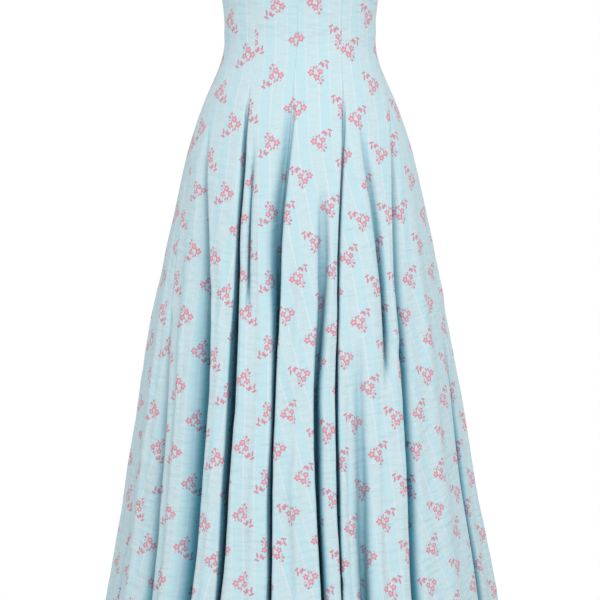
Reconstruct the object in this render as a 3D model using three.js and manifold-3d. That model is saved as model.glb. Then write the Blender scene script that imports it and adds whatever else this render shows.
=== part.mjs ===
// Floor-length strapless gown in light striped cotton, cut in eight princess-line gores
// that run from the neck edge to the hem with no waist seam. It is worn but empty, and the
// skirt hangs in deep, soft folds. A concealed zip closes the centre back seam.
// Millimetres. The origin is the centre of the waist, +Z is up, the front faces -Y
// and the wearer's left is +X. Azimuths are in degrees, 0 at the front, +90 at +X.
import * as THREE from "three";
import { mergeVertices } from "three/addons/utils/BufferGeometryUtils.js";
import Module from "manifold-3d";

const wasm = await Module();
wasm.setup();

// Driving dimensions
const CLOTH = 1.5;
const SEAM_GAP = 0.3;
const HEM_Z = -1080;
const WAIST_ROWS = [1, 0.83, 0.66, 0.44, 0.22, 0];
const SKIRT_ROWS = [-45, -90, -150, -240, -350, -500, -660, -860, HEM_Z];

// Half-width and depths of the figure's outline at each height, measured from the origin
const SECTIONS = table(["z", "halfWidth", "front", "back"], [
  [-1080, 355, 322, 328],
  [-848, 313, 282, 289],
  [-681, 285, 252, 260],
  [-514, 257, 221, 230],
  [-347, 224.5, 185, 194],
  [-264, 205.5, 165, 174],
  [-180, 186, 143, 152],
  [-138, 173.5, 130, 139],
  [-97, 158.5, 116, 124],
  [-63, 143.5, 103, 110],
  [-30, 131, 93, 97],
  [0, 126, 89, 91],
  [35, 126.8, 92, 91],
  [70, 130.2, 98, 92],
  [105, 136, 107, 94],
  [145, 143, 113, 96],
  [185, 148, 112, 97],
  [220, 150, 106, 97],
]);

// Height of the neck edge round the body, the same on both sides
const NECK_EDGE = table(["azimuth", "z"], [
  [0, 203],
  [34, 219],
  [64, 205],
  [90, 187],
  [135, 163],
  [180, 150],
]);

// The cups that the princess seams shape
const CUP = { azimuth: 34, spread: 19, z: 146, height: 46, rise: 15 };

// Azimuth of each fold's valley at five heights, round from the centre back
const PLACES = table(["name", "waist", "hip", "thigh", "knee", "hem"], [
  ["centre_back", -180, -180, -180, -181, -181],
  ["back_right_1", -168, -168.5, -169.5, -170, -169],
  ["back_right_2", -157, -157.5, -158, -159, -158.5],
  ["back_princess_right", -146, -146.5, -147.5, -148, -149],
  ["back_right_3", -131, -132, -134, -136, -137.5],
  ["back_right_4", -120, -119.5, -121, -123, -125],
  ["back_right_5", -111, -107.5, -107, -109, -111.5],
  ["back_right_6", -103, -95, -93, -95, -98],
  ["back_right_7", -96, -85, -79, -75, -71],
  ["side_right", -88, -74, -64, -53.2, -44.3],
  ["front_right_1", -62, -58, -42.7, -34.6, -31.8],
  ["front_princess_right", -36, -30.6, -27.1, -23.9, -22.8],
  ["front_right_2", -30, -25.2, -22, -19.5, -18.5],
  ["centre_front", -1.9, -5.7, -9.1, -9.4, -8.7],
  ["front_left_1", 12, 11, 8.7, 5.1, 5.9],
  ["front_princess_left", 33, 24.2, 16.6, 13, 11.4],
  ["front_left_2", 38.5, 29, 24.6, 21.1, 18],
  ["front_left_3", 46, 35, 35.8, 31.3, 26],
  ["side_left", 88, 58, 44.1, 39, 32.4],
  ["back_left_1", 95, 76, 72, 67.7, 61.8],
  ["back_left_2", 102, 92, 93, 95, 98],
  ["back_left_3", 110, 106.5, 107, 110, 112],
  ["back_left_4", 120, 120, 121, 122.5, 124],
  ["back_left_5", 132, 133, 134, 136, 137],
  ["back_princess_left", 146, 146.5, 147.5, 148.5, 149],
  ["back_left_6", 158, 158.5, 159.5, 160.5, 160],
  ["back_left_7", 169, 169.5, 170, 171, 170.5],
]);
const PLACE_HEIGHTS = { hem: HEM_Z, knee: -600, thigh: -350, hip: -150, waist: 0 };

// Form of each fold. It opens at start and has closed again at end, or runs to the hem.
// depth is at the hem. The throats are the slit's half-width at the hip, knee and hem.
// before and after are the radii of the shoulders where the cloth turns in, lean is how far
// the bottom slips sideways, and drop is how far the ridge before the fold lies back.
const FORMS = table(
  [
    "name", "start", "end", "depth", "throatHip", "throatKnee", "throatHem",
    "before", "after", "lean", "drop",
  ],
  [
    ["centre_back", -200, HEM_Z, 74, 5, 5, 4, 12, 12, 4, 0],
    ["back_right_1", -90, HEM_Z, 52, 4, 4, 3.5, 16, 8, 8, 4],
    ["back_right_2", -240, HEM_Z, 40, 5, 5, 5, 18, 12, 0, 8],
    ["back_princess_right", -65, HEM_Z, 82, 5, 6, 4, 12, 9, 8, 0],
    ["back_right_3", -130, HEM_Z, 58, 5, 4, 4, 20, 9, 9, 3],
    ["back_right_4", -70, HEM_Z, 70, 4.5, 5, 4, 12, 14, -6, 0],
    ["back_right_5", -210, HEM_Z, 46, 5, 5, 5, 22, 12, 6, 5],
    ["back_right_6", -150, HEM_Z, 60, 4.5, 4, 4, 16, 14, 4, 0],
    ["back_right_7", -420, HEM_Z, 12, 9, 9, 9, 30, 30, 0, 0],
    ["side_right", -190, HEM_Z, 48, 4, 4, 3.5, 26, 8, 9, 0],
    ["front_right_1", -130, HEM_Z, 66, 5, 5, 4.5, 32, 5, 11, 0],
    ["front_princess_right", -62, HEM_Z, 88, 3, 8, 3.8, 8, 5, 1, 0],
    ["front_right_2", -140, -480, 60, 2.6, 2.6, 2.6, 4, 6, 2, 7],
    ["centre_front", -66, HEM_Z, 78, 6.5, 2.8, 2.6, 24, 5, 7, 0],
    ["front_left_1", -220, HEM_Z, 66, 6.5, 6, 2.8, 16, 12, -3, 3],
    ["front_princess_left", -58, HEM_Z, 60, 2.4, 2.4, 2.4, 5, 5, -3, 0],
    ["front_left_2", -520, HEM_Z, 46, 5, 5, 5, 24, 7, 5, 4],
    ["front_left_3", -105, -590, 62, 4.5, 3, 3, 8, 10, -4, 0],
    ["side_left", -115, HEM_Z, 68, 2.8, 2.8, 2.6, 6, 8, -5, 0],
    ["back_left_1", -510, HEM_Z, 56, 4, 4, 4.5, 6, 20, -7, 0],
    ["back_left_2", -160, HEM_Z, 60, 4.5, 4, 4, 14, 16, -4, 0],
    ["back_left_3", -200, HEM_Z, 44, 5, 5, 5, 12, 22, -5, 6],
    ["back_left_4", -80, HEM_Z, 68, 4.5, 5, 4, 12, 14, 6, 0],
    ["back_left_5", -150, HEM_Z, 54, 5, 4, 4, 10, 20, -8, 4],
    ["back_princess_left", -62, HEM_Z, 84, 5, 6, 4, 9, 12, -8, 0],
    ["back_left_6", -230, HEM_Z, 42, 5, 5, 4.5, 12, 18, 0, 7],
    ["back_left_7", -85, HEM_Z, 54, 4, 4, 3.5, 8, 16, -8, 4],
  ],
);
const THROAT_HEIGHTS = { throatHem: HEM_Z, throatKnee: -580, throatHip: -330 };

// How the folds grow and how the cloth is shared out between them
const GROWTH_POWER = 0.8;
const SOFT_START = 0.12;
const FADE_LENGTH = 130;
const DROP_TOP = -130;
const DROP_LENGTH = 120;
const LEAN_POWER = 1.6;
const FREE_SHARE = 0.3;
const ARM_SHARE = 0.46;
const LEAST_SHOULDER = 2.5;
const CROWN_SHARE = 0.06;
const CROWN_LIMIT = 6;
const CROWN_TOP = -200;
const CROWN_FULL = -450;
const RIDGE_STEP = 42;
const SEAM_STEPS = [-1, -0.76, -0.1, 0, 0.1, 0.76, 1];
const FOLD_STEPS = [-1, -0.76, -0.1, 0.1, 0.76, 1];
const SOFT_STEPS = [-1, -0.5, 0, 0.5, 1];
const SOFT_DEPTH = 20;
const LEAST_MITRE = 0.6;

// The gores, each from one seam to the next
const GORES = table(["name", "from", "to"], [
  ["back_centre_right", "centre_back", "back_princess_right"],
  ["back_side_right", "back_princess_right", "side_right"],
  ["front_side_right", "side_right", "front_princess_right"],
  ["front_centre_right", "front_princess_right", "centre_front"],
  ["front_centre_left", "centre_front", "front_princess_left"],
  ["front_side_left", "front_princess_left", "side_left"],
  ["back_side_left", "side_left", "back_princess_left"],
  ["back_centre_left", "back_princess_left", "centre_back"],
]);

// The zip: its tape follows the cloth's inner side from just under the neck edge to the hip,
// its slider stands over the neck edge, and the pull tab hangs outside on the slider's pin
const TAPE = { thickness: 0.9, gap: 0.3, topShare: 0.12, bottomRow: 8 };
const SLIDER = { width: 6.4, plate: 1.4, height: 9, rise: 1.2, clear: 0.4, bite: 0.2 };
const EARS = { width: 0.9, height: 5, rim: 0.5, pinRadius: 0.7, pinDrop: 3 };
const PULL = { knuckle: 2, eye: 1.1, width: 3, clear: 0.35, sides: 16 };
const TAB = { length: 19, width: 6.5, neck: 2.2, thickness: 1, tipSegments: 6 };
const WELD = 1e-4;

const GOWN_CLOTH = new THREE.MeshStandardMaterial({ color: 0xc9e3ea, roughness: 0.85, metalness: 0 });
const ZIP_CLOTH = new THREE.MeshStandardMaterial({ color: 0xb9d8e2, roughness: 0.9, metalness: 0 });
const ZIP_METAL = new THREE.MeshStandardMaterial({ color: 0xbcd3da, roughness: 0.4, metalness: 0.6 });

// One record for each row of values, with the columns named once
function table(names, rows) {
  return rows.map((row) => Object.fromEntries(names.map((name, i) => [name, row[i]])));
}

function radians(degrees) {
  return (degrees * Math.PI) / 180;
}

function mix(a, b, share) {
  return a + (b - a) * share;
}

// Smooth step from 0 to 1 as the value goes from 0 to 1
function ease(value) {
  const t = Math.min(1, Math.max(0, value));
  return t * t * (3 - 2 * t);
}

// Smooth curve through points that are given from left to right, with no overshoot
function smoothCurve(xs, ys) {
  const secants = xs.slice(1).map((x, i) => (ys[i + 1] - ys[i]) / (x - xs[i]));
  const slopes = xs.map((_, i) => {
    const left = secants[Math.max(0, i - 1)];
    const right = secants[Math.min(secants.length - 1, i)];
    return left * right <= 0 ? 0 : (2 * left * right) / (left + right);
  });
  return (x) => {
    const found = xs.findIndex((edge, i) => i > 0 && x <= edge);
    const i = found < 0 ? xs.length - 2 : found - 1;
    const span = xs[i + 1] - xs[i];
    const t = Math.min(1, Math.max(0, (x - xs[i]) / span));
    const a = (1 + 2 * t) * (1 - t) * (1 - t) * ys[i] + t * (1 - t) * (1 - t) * span * slopes[i];
    const b = t * t * (3 - 2 * t) * ys[i + 1] + t * t * (t - 1) * span * slopes[i + 1];
    return a + b;
  };
}

const sectionZ = SECTIONS.map((row) => row.z);
const halfWidthAt = smoothCurve(sectionZ, SECTIONS.map((row) => row.halfWidth));
const frontAt = smoothCurve(sectionZ, SECTIONS.map((row) => row.front));
const backAt = smoothCurve(sectionZ, SECTIONS.map((row) => row.back));
const neckEdgeAt = smoothCurve(NECK_EDGE.map((row) => row.azimuth), NECK_EDGE.map((row) => row.z));
const placeLevels = Object.keys(PLACE_HEIGHTS);
const placeZ = Object.values(PLACE_HEIGHTS);
const throatLevels = Object.keys(THROAT_HEIGHTS);
const throatZ = Object.values(THROAT_HEIGHTS);
const FOLDS = FORMS.map((form, i) => ({
  ...form,
  azimuthAt: smoothCurve(placeZ, placeLevels.map((level) => PLACES[i][level])),
  throatAt: smoothCurve(throatZ, throatLevels.map((level) => form[level])),
}));
const seamNames = new Set(GORES.map((gore) => gore.from));

// Azimuth brought to between -180 and 180
function wrapped(azimuth) {
  return azimuth - 360 * Math.round(azimuth / 360);
}

function depthToward(azimuth, z) {
  return Math.cos(radians(azimuth)) > 0 ? frontAt(z) : backAt(z);
}

function cupRise(azimuth, z) {
  const across = (Math.abs(wrapped(azimuth)) - CUP.azimuth) / CUP.spread;
  const up = (z - CUP.z) / CUP.height;
  return CUP.rise * Math.exp(-across * across - up * up);
}

// Unit vector along the outline, with the length that one degree covers
function along(azimuth, z) {
  const a = radians(azimuth);
  const x = halfWidthAt(z) * Math.cos(a);
  const y = depthToward(azimuth, z) * Math.sin(a);
  const length = Math.hypot(x, y);
  return { x: x / length, y: y / length, rate: radians(length) };
}

// Point of the smooth outline, before any fold
function outlinePoint(azimuth, z) {
  const a = radians(azimuth);
  const way = along(azimuth, z);
  const rise = cupRise(azimuth, z);
  return {
    x: halfWidthAt(z) * Math.sin(a) + way.y * rise,
    y: -depthToward(azimuth, z) * Math.cos(a) - way.x * rise,
  };
}

// Azimuth of a fold, counted on past 180 for the folds after the last one
function foldAzimuth(index, z) {
  const turns = Math.floor(index / FOLDS.length);
  return FOLDS[index - turns * FOLDS.length].azimuthAt(z) + 360 * turns;
}

function foldAt(index) {
  return FOLDS[(index + FOLDS.length) % FOLDS.length];
}

// Distance along the outline from the fold before to this one
function gapBefore(index, z) {
  const here = foldAzimuth(index, z);
  const before = foldAzimuth(index - 1, z);
  return (here - before) * along((here + before) / 2, z).rate;
}

// 1 along most of a fold, down to 0 where a short one has closed again
function closing(fold, z) {
  return fold.end > HEM_Z ? ease((z - fold.end) / FADE_LENGTH) : 1;
}

// Share of its depth that a fold has reached at a height
function growth(fold, z) {
  const t = Math.min(1, Math.max(0, (fold.start - z) / (fold.start - HEM_Z)));
  return Math.pow(t, GROWTH_POWER) * ease(t / SOFT_START) * closing(fold, z);
}

// How far the ridge before a fold lies back from the outline
function ridgeDrop(index, z) {
  const fold = foldAt(index);
  return fold.drop * ease((DROP_TOP - z) / DROP_LENGTH) * closing(fold, z);
}

function ridgeCrown(index, z) {
  const shown = ease((CROWN_TOP - z) / (CROWN_TOP - CROWN_FULL));
  return Math.min(CROWN_LIMIT, gapBefore(index, z) * CROWN_SHARE) * shown;
}

// One side of a fold: a flat, a shoulder, a wall and half of the rounded bottom
function foldArm(fold, shoulderSize, gap, z) {
  const depth = fold.depth * growth(fold, z);
  const throat = fold.throatAt(z);
  const shoulder = Math.max(LEAST_SHOULDER, Math.min(shoulderSize, ARM_SHARE * gap - throat));
  const radius = throat + shoulder;
  const turn = depth < radius ? Math.acos(1 - depth / radius) : Math.PI / 2;
  const wall = Math.max(0, depth - radius);
  const need = radius * Math.sin(turn);
  const reach = Math.max(need, FREE_SHARE * gap);
  const length = throat * turn + wall + shoulder * turn + reach - need;
  return { depth, throat, shoulder, turn, wall, need, reach, length };
}

// Offset along the outline and depth at a share of an arm, from its bottom out
function armPoint(arm, share) {
  const way = share * arm.length;
  const wallStart = arm.throat * arm.turn;
  const shoulderStart = wallStart + arm.wall;
  const flatStart = shoulderStart + arm.shoulder * arm.turn;
  if (way < wallStart) {
    const angle = way / arm.throat;
    return { offset: arm.throat * Math.sin(angle), depth: arm.depth - arm.throat * (1 - Math.cos(angle)) };
  }
  if (way < shoulderStart) {
    return { offset: arm.throat, depth: arm.depth - arm.throat - (way - wallStart) };
  }
  if (way < flatStart) {
    const angle = (flatStart - way) / arm.shoulder;
    return { offset: arm.need - arm.shoulder * Math.sin(angle), depth: arm.shoulder * (1 - Math.cos(angle)) };
  }
  return { offset: arm.need + way - flatStart, depth: 0 };
}

function armBefore(index, z) {
  return foldArm(foldAt(index), foldAt(index).before, gapBefore(index, z), z);
}

function armAfter(index, z) {
  return foldArm(foldAt(index), foldAt(index).after, gapBefore(index + 1, z), z);
}

// Point inside a fold, from -1 at the end of the ridge before it to +1 at the next ridge
function foldPoint(index, across, z) {
  const fold = foldAt(index);
  const azimuth = foldAzimuth(index, z);
  const way = along(azimuth, z);
  const arm = across < 0 ? armBefore(index, z) : armAfter(index, z);
  const depth = armPoint(arm, Math.abs(across)).depth;
  const before = ridgeDrop(index, z) + ridgeCrown(index, z);
  const after = ridgeDrop(index + 1, z) + ridgeCrown(index + 1, z);
  const back = mix(before, after, ease((across + 1) / 2)) + depth;
  const share = arm.depth > 0 ? depth / arm.depth : 0;
  const slip = fold.lean * growth(fold, z) * Math.pow(share, LEAN_POWER);
  const start = outlinePoint(azimuth + turnAcross(index, across, z), z);
  return {
    x: start.x + way.x * slip - way.y * back,
    y: start.y + way.y * slip + way.x * back,
  };
}

// Turn from a fold's azimuth to a place inside it, on the outline
function turnAcross(index, across, z) {
  const arm = across < 0 ? armBefore(index, z) : armAfter(index, z);
  const offset = armPoint(arm, Math.abs(across)).offset;
  return (Math.sign(across) * offset) / along(foldAzimuth(index, z), z).rate;
}

// Azimuth of a place on the ridge before a fold
function ridgeAzimuth(index, share, z) {
  const from = foldAzimuth(index - 1, z) + turnAcross(index - 1, 1, z);
  const to = foldAzimuth(index, z) + turnAcross(index, -1, z);
  return mix(from, to, share);
}

// Point on the ridge before a fold, from 0 beside the fold before to 1 beside this one
function ridgePoint(index, share, z) {
  const azimuth = ridgeAzimuth(index, share, z);
  const way = along(azimuth, z);
  const start = outlinePoint(azimuth, z);
  const crown = (ridgeCrown(index, z) * (1 - Math.cos(2 * Math.PI * (share - 0.5)))) / 2;
  const back = ridgeDrop(index, z) + crown;
  return { x: start.x - way.y * back, y: start.y + way.x * back };
}

// Upright lines of points round the whole gown, in order from the centre back
function clothColumns() {
  return FOLDS.flatMap((fold, index) => {
    const plain = fold.depth < SOFT_DEPTH ? SOFT_STEPS : FOLD_STEPS;
    const steps = seamNames.has(fold.name) ? SEAM_STEPS : plain;
    const inFold = steps.map((across) => ({
      topAzimuth: foldAzimuth(index, 0) + turnAcross(index, across, 0),
      pointAt: (z) => foldPoint(index, across, z),
      seam: across === 0 && seamNames.has(fold.name) ? fold.name : null,
    }));
    const gap = gapBefore(index + 1, HEM_Z);
    const free = gap - armAfter(index, HEM_Z).reach - armBefore(index + 1, HEM_Z).reach;
    const count = Math.max(1, Math.round(free / RIDGE_STEP));
    const onRidge = Array.from({ length: count }, (_, i) => ({
      topAzimuth: ridgeAzimuth(index + 1, (i + 1) / (count + 1), 0),
      pointAt: (z) => ridgePoint(index + 1, (i + 1) / (count + 1), z),
      seam: null,
    }));
    return [...inFold, ...onRidge];
  });
}

// Height of a row on a column: the rows above the waist rise to the neck edge
function rowHeights(column) {
  const top = neckEdgeAt(Math.abs(wrapped(column.topAzimuth)));
  return [...WAIST_ROWS.map((share) => share * top), ...SKIRT_ROWS];
}

// Outer points of the whole cloth, row by row, with the direction out of it at each one
function clothRows(columns) {
  const grid = columns.map((column) => rowHeights(column).map((z) => ({ ...column.pointAt(z), z })));
  const rows = grid[0].map((_, r) => grid.map((points) => points[r]));
  return rows.map((row) =>
    row.map((point, c) => {
      const before = row[(c + row.length - 1) % row.length];
      const after = row[(c + 1) % row.length];
      return { ...point, ...mitre(before, point, after) };
    }),
  );
}

// Unit way along the row and the outward step that keeps a wall its full thickness
function mitre(before, point, after) {
  const a = new THREE.Vector2(point.x - before.x, point.y - before.y).normalize();
  const b = new THREE.Vector2(after.x - point.x, after.y - point.y).normalize();
  const way = a.clone().add(b).normalize();
  const stretch = 1 / Math.max(LEAST_MITRE, Math.abs(way.dot(a)));
  return { wayX: way.x, wayY: way.y, outX: way.y * stretch, outY: -way.x * stretch };
}

function movedPoint(point, out, sideways) {
  return [
    point.x + point.outX * out + point.wayX * sideways,
    point.y + point.outY * out + point.wayY * sideways,
    point.z,
  ];
}

// Closed wall between an outer and an inner grid of points with the same rows and columns
function wallGeometry(outer, inner) {
  const rows = outer.length;
  const width = outer[0].length;
  const positions = [...outer.flat(), ...inner.flat()].flat();
  const at = (r, c) => r * width + c;
  const within = (r, c) => rows * width + at(r, c);
  const faces = [];
  const quad = (a, b, c, d) => faces.push(a, b, c, a, c, d);
  for (let r = 0; r < rows - 1; r += 1) {
    for (let c = 0; c < width - 1; c += 1) {
      quad(at(r, c), at(r + 1, c), at(r + 1, c + 1), at(r, c + 1));
      quad(within(r, c), within(r, c + 1), within(r + 1, c + 1), within(r + 1, c));
    }
    quad(at(r, 0), within(r, 0), within(r + 1, 0), at(r + 1, 0));
    quad(at(r, width - 1), at(r + 1, width - 1), within(r + 1, width - 1), within(r, width - 1));
  }
  for (let c = 0; c < width - 1; c += 1) {
    quad(at(0, c), at(0, c + 1), within(0, c + 1), within(0, c));
    quad(at(rows - 1, c), within(rows - 1, c), within(rows - 1, c + 1), at(rows - 1, c + 1));
  }
  const geometry = new THREE.BufferGeometry();
  geometry.setAttribute("position", new THREE.Float32BufferAttribute(positions, 3));
  geometry.setIndex(faces);
  geometry.computeVertexNormals();
  return geometry;
}

function namedMesh(name, geometry, material) {
  const mesh = new THREE.Mesh(geometry, material);
  mesh.name = name;
  return mesh;
}

// A gore: the wall between two seams, drawn back by half a seam gap at each
function goreMesh(gore, columns, rows) {
  const first = columns.findIndex((column) => column.seam === gore.from);
  const last = columns.findIndex((column) => column.seam === gore.to);
  const count = (last - first + columns.length) % columns.length;
  const picked = Array.from({ length: count + 1 }, (_, i) => (first + i) % columns.length);
  const sideways = (i) => (i === 0 ? SEAM_GAP / 2 : i === count ? -SEAM_GAP / 2 : 0);
  const layer = (out) => rows.map((row) => picked.map((c, i) => movedPoint(row[c], out, sideways(i))));
  return namedMesh(gore.name, wallGeometry(layer(0), layer(-CLOTH)), GOWN_CLOTH);
}

// The zip's tape, made from the cloth's own points at the centre back, moved in
function tapeMesh(columns, rows) {
  const seam = columns.findIndex((column) => column.seam === "centre_back");
  const reach = SEAM_STEPS.filter((step) => step > 0 && step < 1).length;
  const first = seam - reach + columns.length;
  const picked = Array.from({ length: 2 * reach + 1 }, (_, i) => (first + i) % columns.length);
  const lowered = (top, below) => top.map((value, axis) => mix(value, below[axis], TAPE.topShare));
  const layer = (out) => {
    const zipRows = rows.slice(0, TAPE.bottomRow + 1);
    const points = zipRows.map((row) => picked.map((c) => movedPoint(row[c], out, 0)));
    points[0] = points[0].map((top, i) => lowered(top, points[1][i]));
    return points;
  };
  const outer = -CLOTH - TAPE.gap;
  return namedMesh("zip_tape", wallGeometry(layer(outer), layer(outer - TAPE.thickness)), ZIP_CLOTH);
}

// A closed three.js geometry as a solid that can be joined and cut
function solidOf(geometry) {
  const bare = geometry.clone();
  bare.deleteAttribute("normal");
  bare.deleteAttribute("uv");
  const merged = mergeVertices(bare, WELD);
  const vertProperties = new Float32Array(merged.attributes.position.array);
  const triVerts = new Uint32Array(merged.index.array);
  return new wasm.Manifold(new wasm.Mesh({ numProp: 3, vertProperties, triVerts }));
}

function geometryOf(solid) {
  const mesh = solid.getMesh();
  const geometry = new THREE.BufferGeometry();
  geometry.setAttribute("position", new THREE.BufferAttribute(new Float32Array(mesh.vertProperties), 3));
  geometry.setIndex(new THREE.BufferAttribute(new Uint32Array(mesh.triVerts), 1));
  geometry.computeVertexNormals();
  return geometry;
}

// A block between two corners
function block(low, high) {
  const size = high.map((value, axis) => value - low[axis]);
  const geometry = new THREE.BoxGeometry(...size);
  geometry.translate(...low.map((value, axis) => value + size[axis] / 2));
  return solidOf(geometry);
}

// A round bar along X
function bar(radius, length, y, z) {
  const geometry = new THREE.CylinderGeometry(radius, radius, length, PULL.sides);
  geometry.rotateZ(Math.PI / 2);
  geometry.translate(0, y, z);
  return solidOf(geometry);
}

// Where the slider and its pin sit, worked out from the cloth at the top of the seam
function zipPlaces(columns, rows) {
  const seam = columns.findIndex((column) => column.seam === "centre_back");
  const cloth = [rows[0][seam].y, rows[1][seam].y];
  const outside = Math.max(...cloth) + SLIDER.clear;
  const inside = Math.min(...cloth) - CLOTH - TAPE.gap - TAPE.thickness - SLIDER.clear;
  const top = rows[0][seam].z;
  const face = outside + SLIDER.plate;
  return { outside, inside, top, face, pinY: face + PULL.knuckle + PULL.clear, pinZ: top - EARS.pinDrop };
}

// The slider: plates inside and outside, a bridge over the neck edge, and two ears with a pin
function sliderMesh(place) {
  const half = SLIDER.width / 2;
  const low = place.top + SLIDER.clear;
  const high = low + SLIDER.rise;
  const earLow = place.pinZ - EARS.height / 2;
  const earHigh = place.pinZ + EARS.height / 2;
  const earEnd = place.pinY + EARS.pinRadius + EARS.rim;
  const back = place.inside - SLIDER.plate;
  const inner = block([-half, back, place.top - SLIDER.height], [half, place.inside, high]);
  const bridge = block([-half, back + SLIDER.bite, low], [half, place.face - SLIDER.bite, high]);
  const outer = block([-half, place.outside, earLow], [half, place.face, high]);
  const rightEar = block([-half, place.face - SLIDER.bite, earLow], [EARS.width - half, earEnd, earHigh]);
  const leftEar = block([half - EARS.width, place.face - SLIDER.bite, earLow], [half, earEnd, earHigh]);
  const pin = bar(EARS.pinRadius, SLIDER.width - SLIDER.bite, place.pinY, place.pinZ);
  const solid = [bridge, outer, rightEar, leftEar, pin].reduce((whole, piece) => whole.add(piece), inner);
  return namedMesh("zip_slider", geometryOf(solid), ZIP_METAL);
}

// Flat drop-shaped tab that hangs from the origin, with its thickness across Y
function tabGeometry() {
  const half = TAB.width / 2;
  const tip = half - TAB.length;
  const outline = new THREE.Shape();
  outline.moveTo(-TAB.neck / 2, 0);
  outline.lineTo(-half, tip);
  outline.absarc(0, tip, half, Math.PI, 2 * Math.PI, false);
  outline.lineTo(TAB.neck / 2, 0);
  const settings = { depth: TAB.thickness, bevelEnabled: false, curveSegments: TAB.tipSegments };
  const geometry = new THREE.ExtrudeGeometry(outline, settings);
  geometry.rotateX(Math.PI / 2);
  geometry.translate(0, TAB.thickness / 2, 0);
  return geometry;
}

// The pull tab: the flat tab and a knuckle that turns on the slider's pin
function pullMesh(place) {
  const tab = solidOf(tabGeometry().translate(0, place.pinY, place.pinZ));
  const knuckle = bar(PULL.knuckle, PULL.width, place.pinY, place.pinZ);
  const eye = bar(PULL.eye, SLIDER.width, place.pinY, place.pinZ);
  return namedMesh("zip_pull", geometryOf(knuckle.add(tab).subtract(eye)), ZIP_METAL);
}

const columns = clothColumns();
const rows = clothRows(columns);
const place = zipPlaces(columns, rows);
const gown = new THREE.Group();
gown.add(...GORES.map((gore) => goreMesh(gore, columns, rows)));
gown.add(tapeMesh(columns, rows), sliderMesh(place), pullMesh(place));

export default gown;
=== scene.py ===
"""Looks of a strapless floor-length gown in light striped cotton with pink sprigs.

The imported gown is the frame. Each of its eight gores gets a thin sheet of cloth with fine folds,
creases, turned edges and a woven pattern, and the concealed zip gets its tapes, coil and fittings.
Shapes are worked out in millimetres and made in metres. Azimuths are in degrees, 0 at the front
and +90 at +X, the wearer's left.
"""

from __future__ import annotations

import logging
import math
from dataclasses import dataclass, field
from enum import Enum

import bmesh
import bpy
import numpy as np
from mathutils import Matrix, Vector

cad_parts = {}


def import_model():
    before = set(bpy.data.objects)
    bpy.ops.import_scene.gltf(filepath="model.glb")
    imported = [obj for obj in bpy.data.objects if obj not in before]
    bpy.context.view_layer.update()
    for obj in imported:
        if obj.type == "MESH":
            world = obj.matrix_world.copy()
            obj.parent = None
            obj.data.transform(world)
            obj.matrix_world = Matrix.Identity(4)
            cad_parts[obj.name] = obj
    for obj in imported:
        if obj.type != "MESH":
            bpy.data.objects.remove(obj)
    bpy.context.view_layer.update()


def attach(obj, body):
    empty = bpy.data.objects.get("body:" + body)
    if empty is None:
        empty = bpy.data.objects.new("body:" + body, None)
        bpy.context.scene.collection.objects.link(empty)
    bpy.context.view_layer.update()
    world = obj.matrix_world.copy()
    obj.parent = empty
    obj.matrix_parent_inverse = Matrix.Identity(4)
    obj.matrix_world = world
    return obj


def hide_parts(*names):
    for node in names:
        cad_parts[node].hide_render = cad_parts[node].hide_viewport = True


LOG = logging.getLogger("gown")
MM = 0.001
HEM_Z = -1080.0
CLOTH = 0.6

# Outline of the figure: height, half-width, depth in front and depth behind
SECTIONS = (
    (-1080, 355, 322, 328),
    (-848, 313, 282, 289),
    (-681, 285, 252, 260),
    (-514, 257, 221, 230),
    (-347, 224.5, 185, 194),
    (-264, 205.5, 165, 174),
    (-180, 186, 143, 152),
    (-138, 173.5, 130, 139),
    (-97, 158.5, 116, 124),
    (-63, 143.5, 103, 110),
    (-30, 131, 93, 97),
    (0, 126, 89, 91),
    (35, 126.8, 92, 91),
    (70, 130.2, 98, 92),
    (105, 136, 107, 94),
    (145, 143, 113, 96),
    (185, 148, 112, 97),
    (220, 150, 106, 97),
)

# Neck edge: azimuth, height
NECK_EDGE = ((0, 203), (34, 219), (64, 205), (90, 187), (135, 163), (180, 150))

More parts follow.
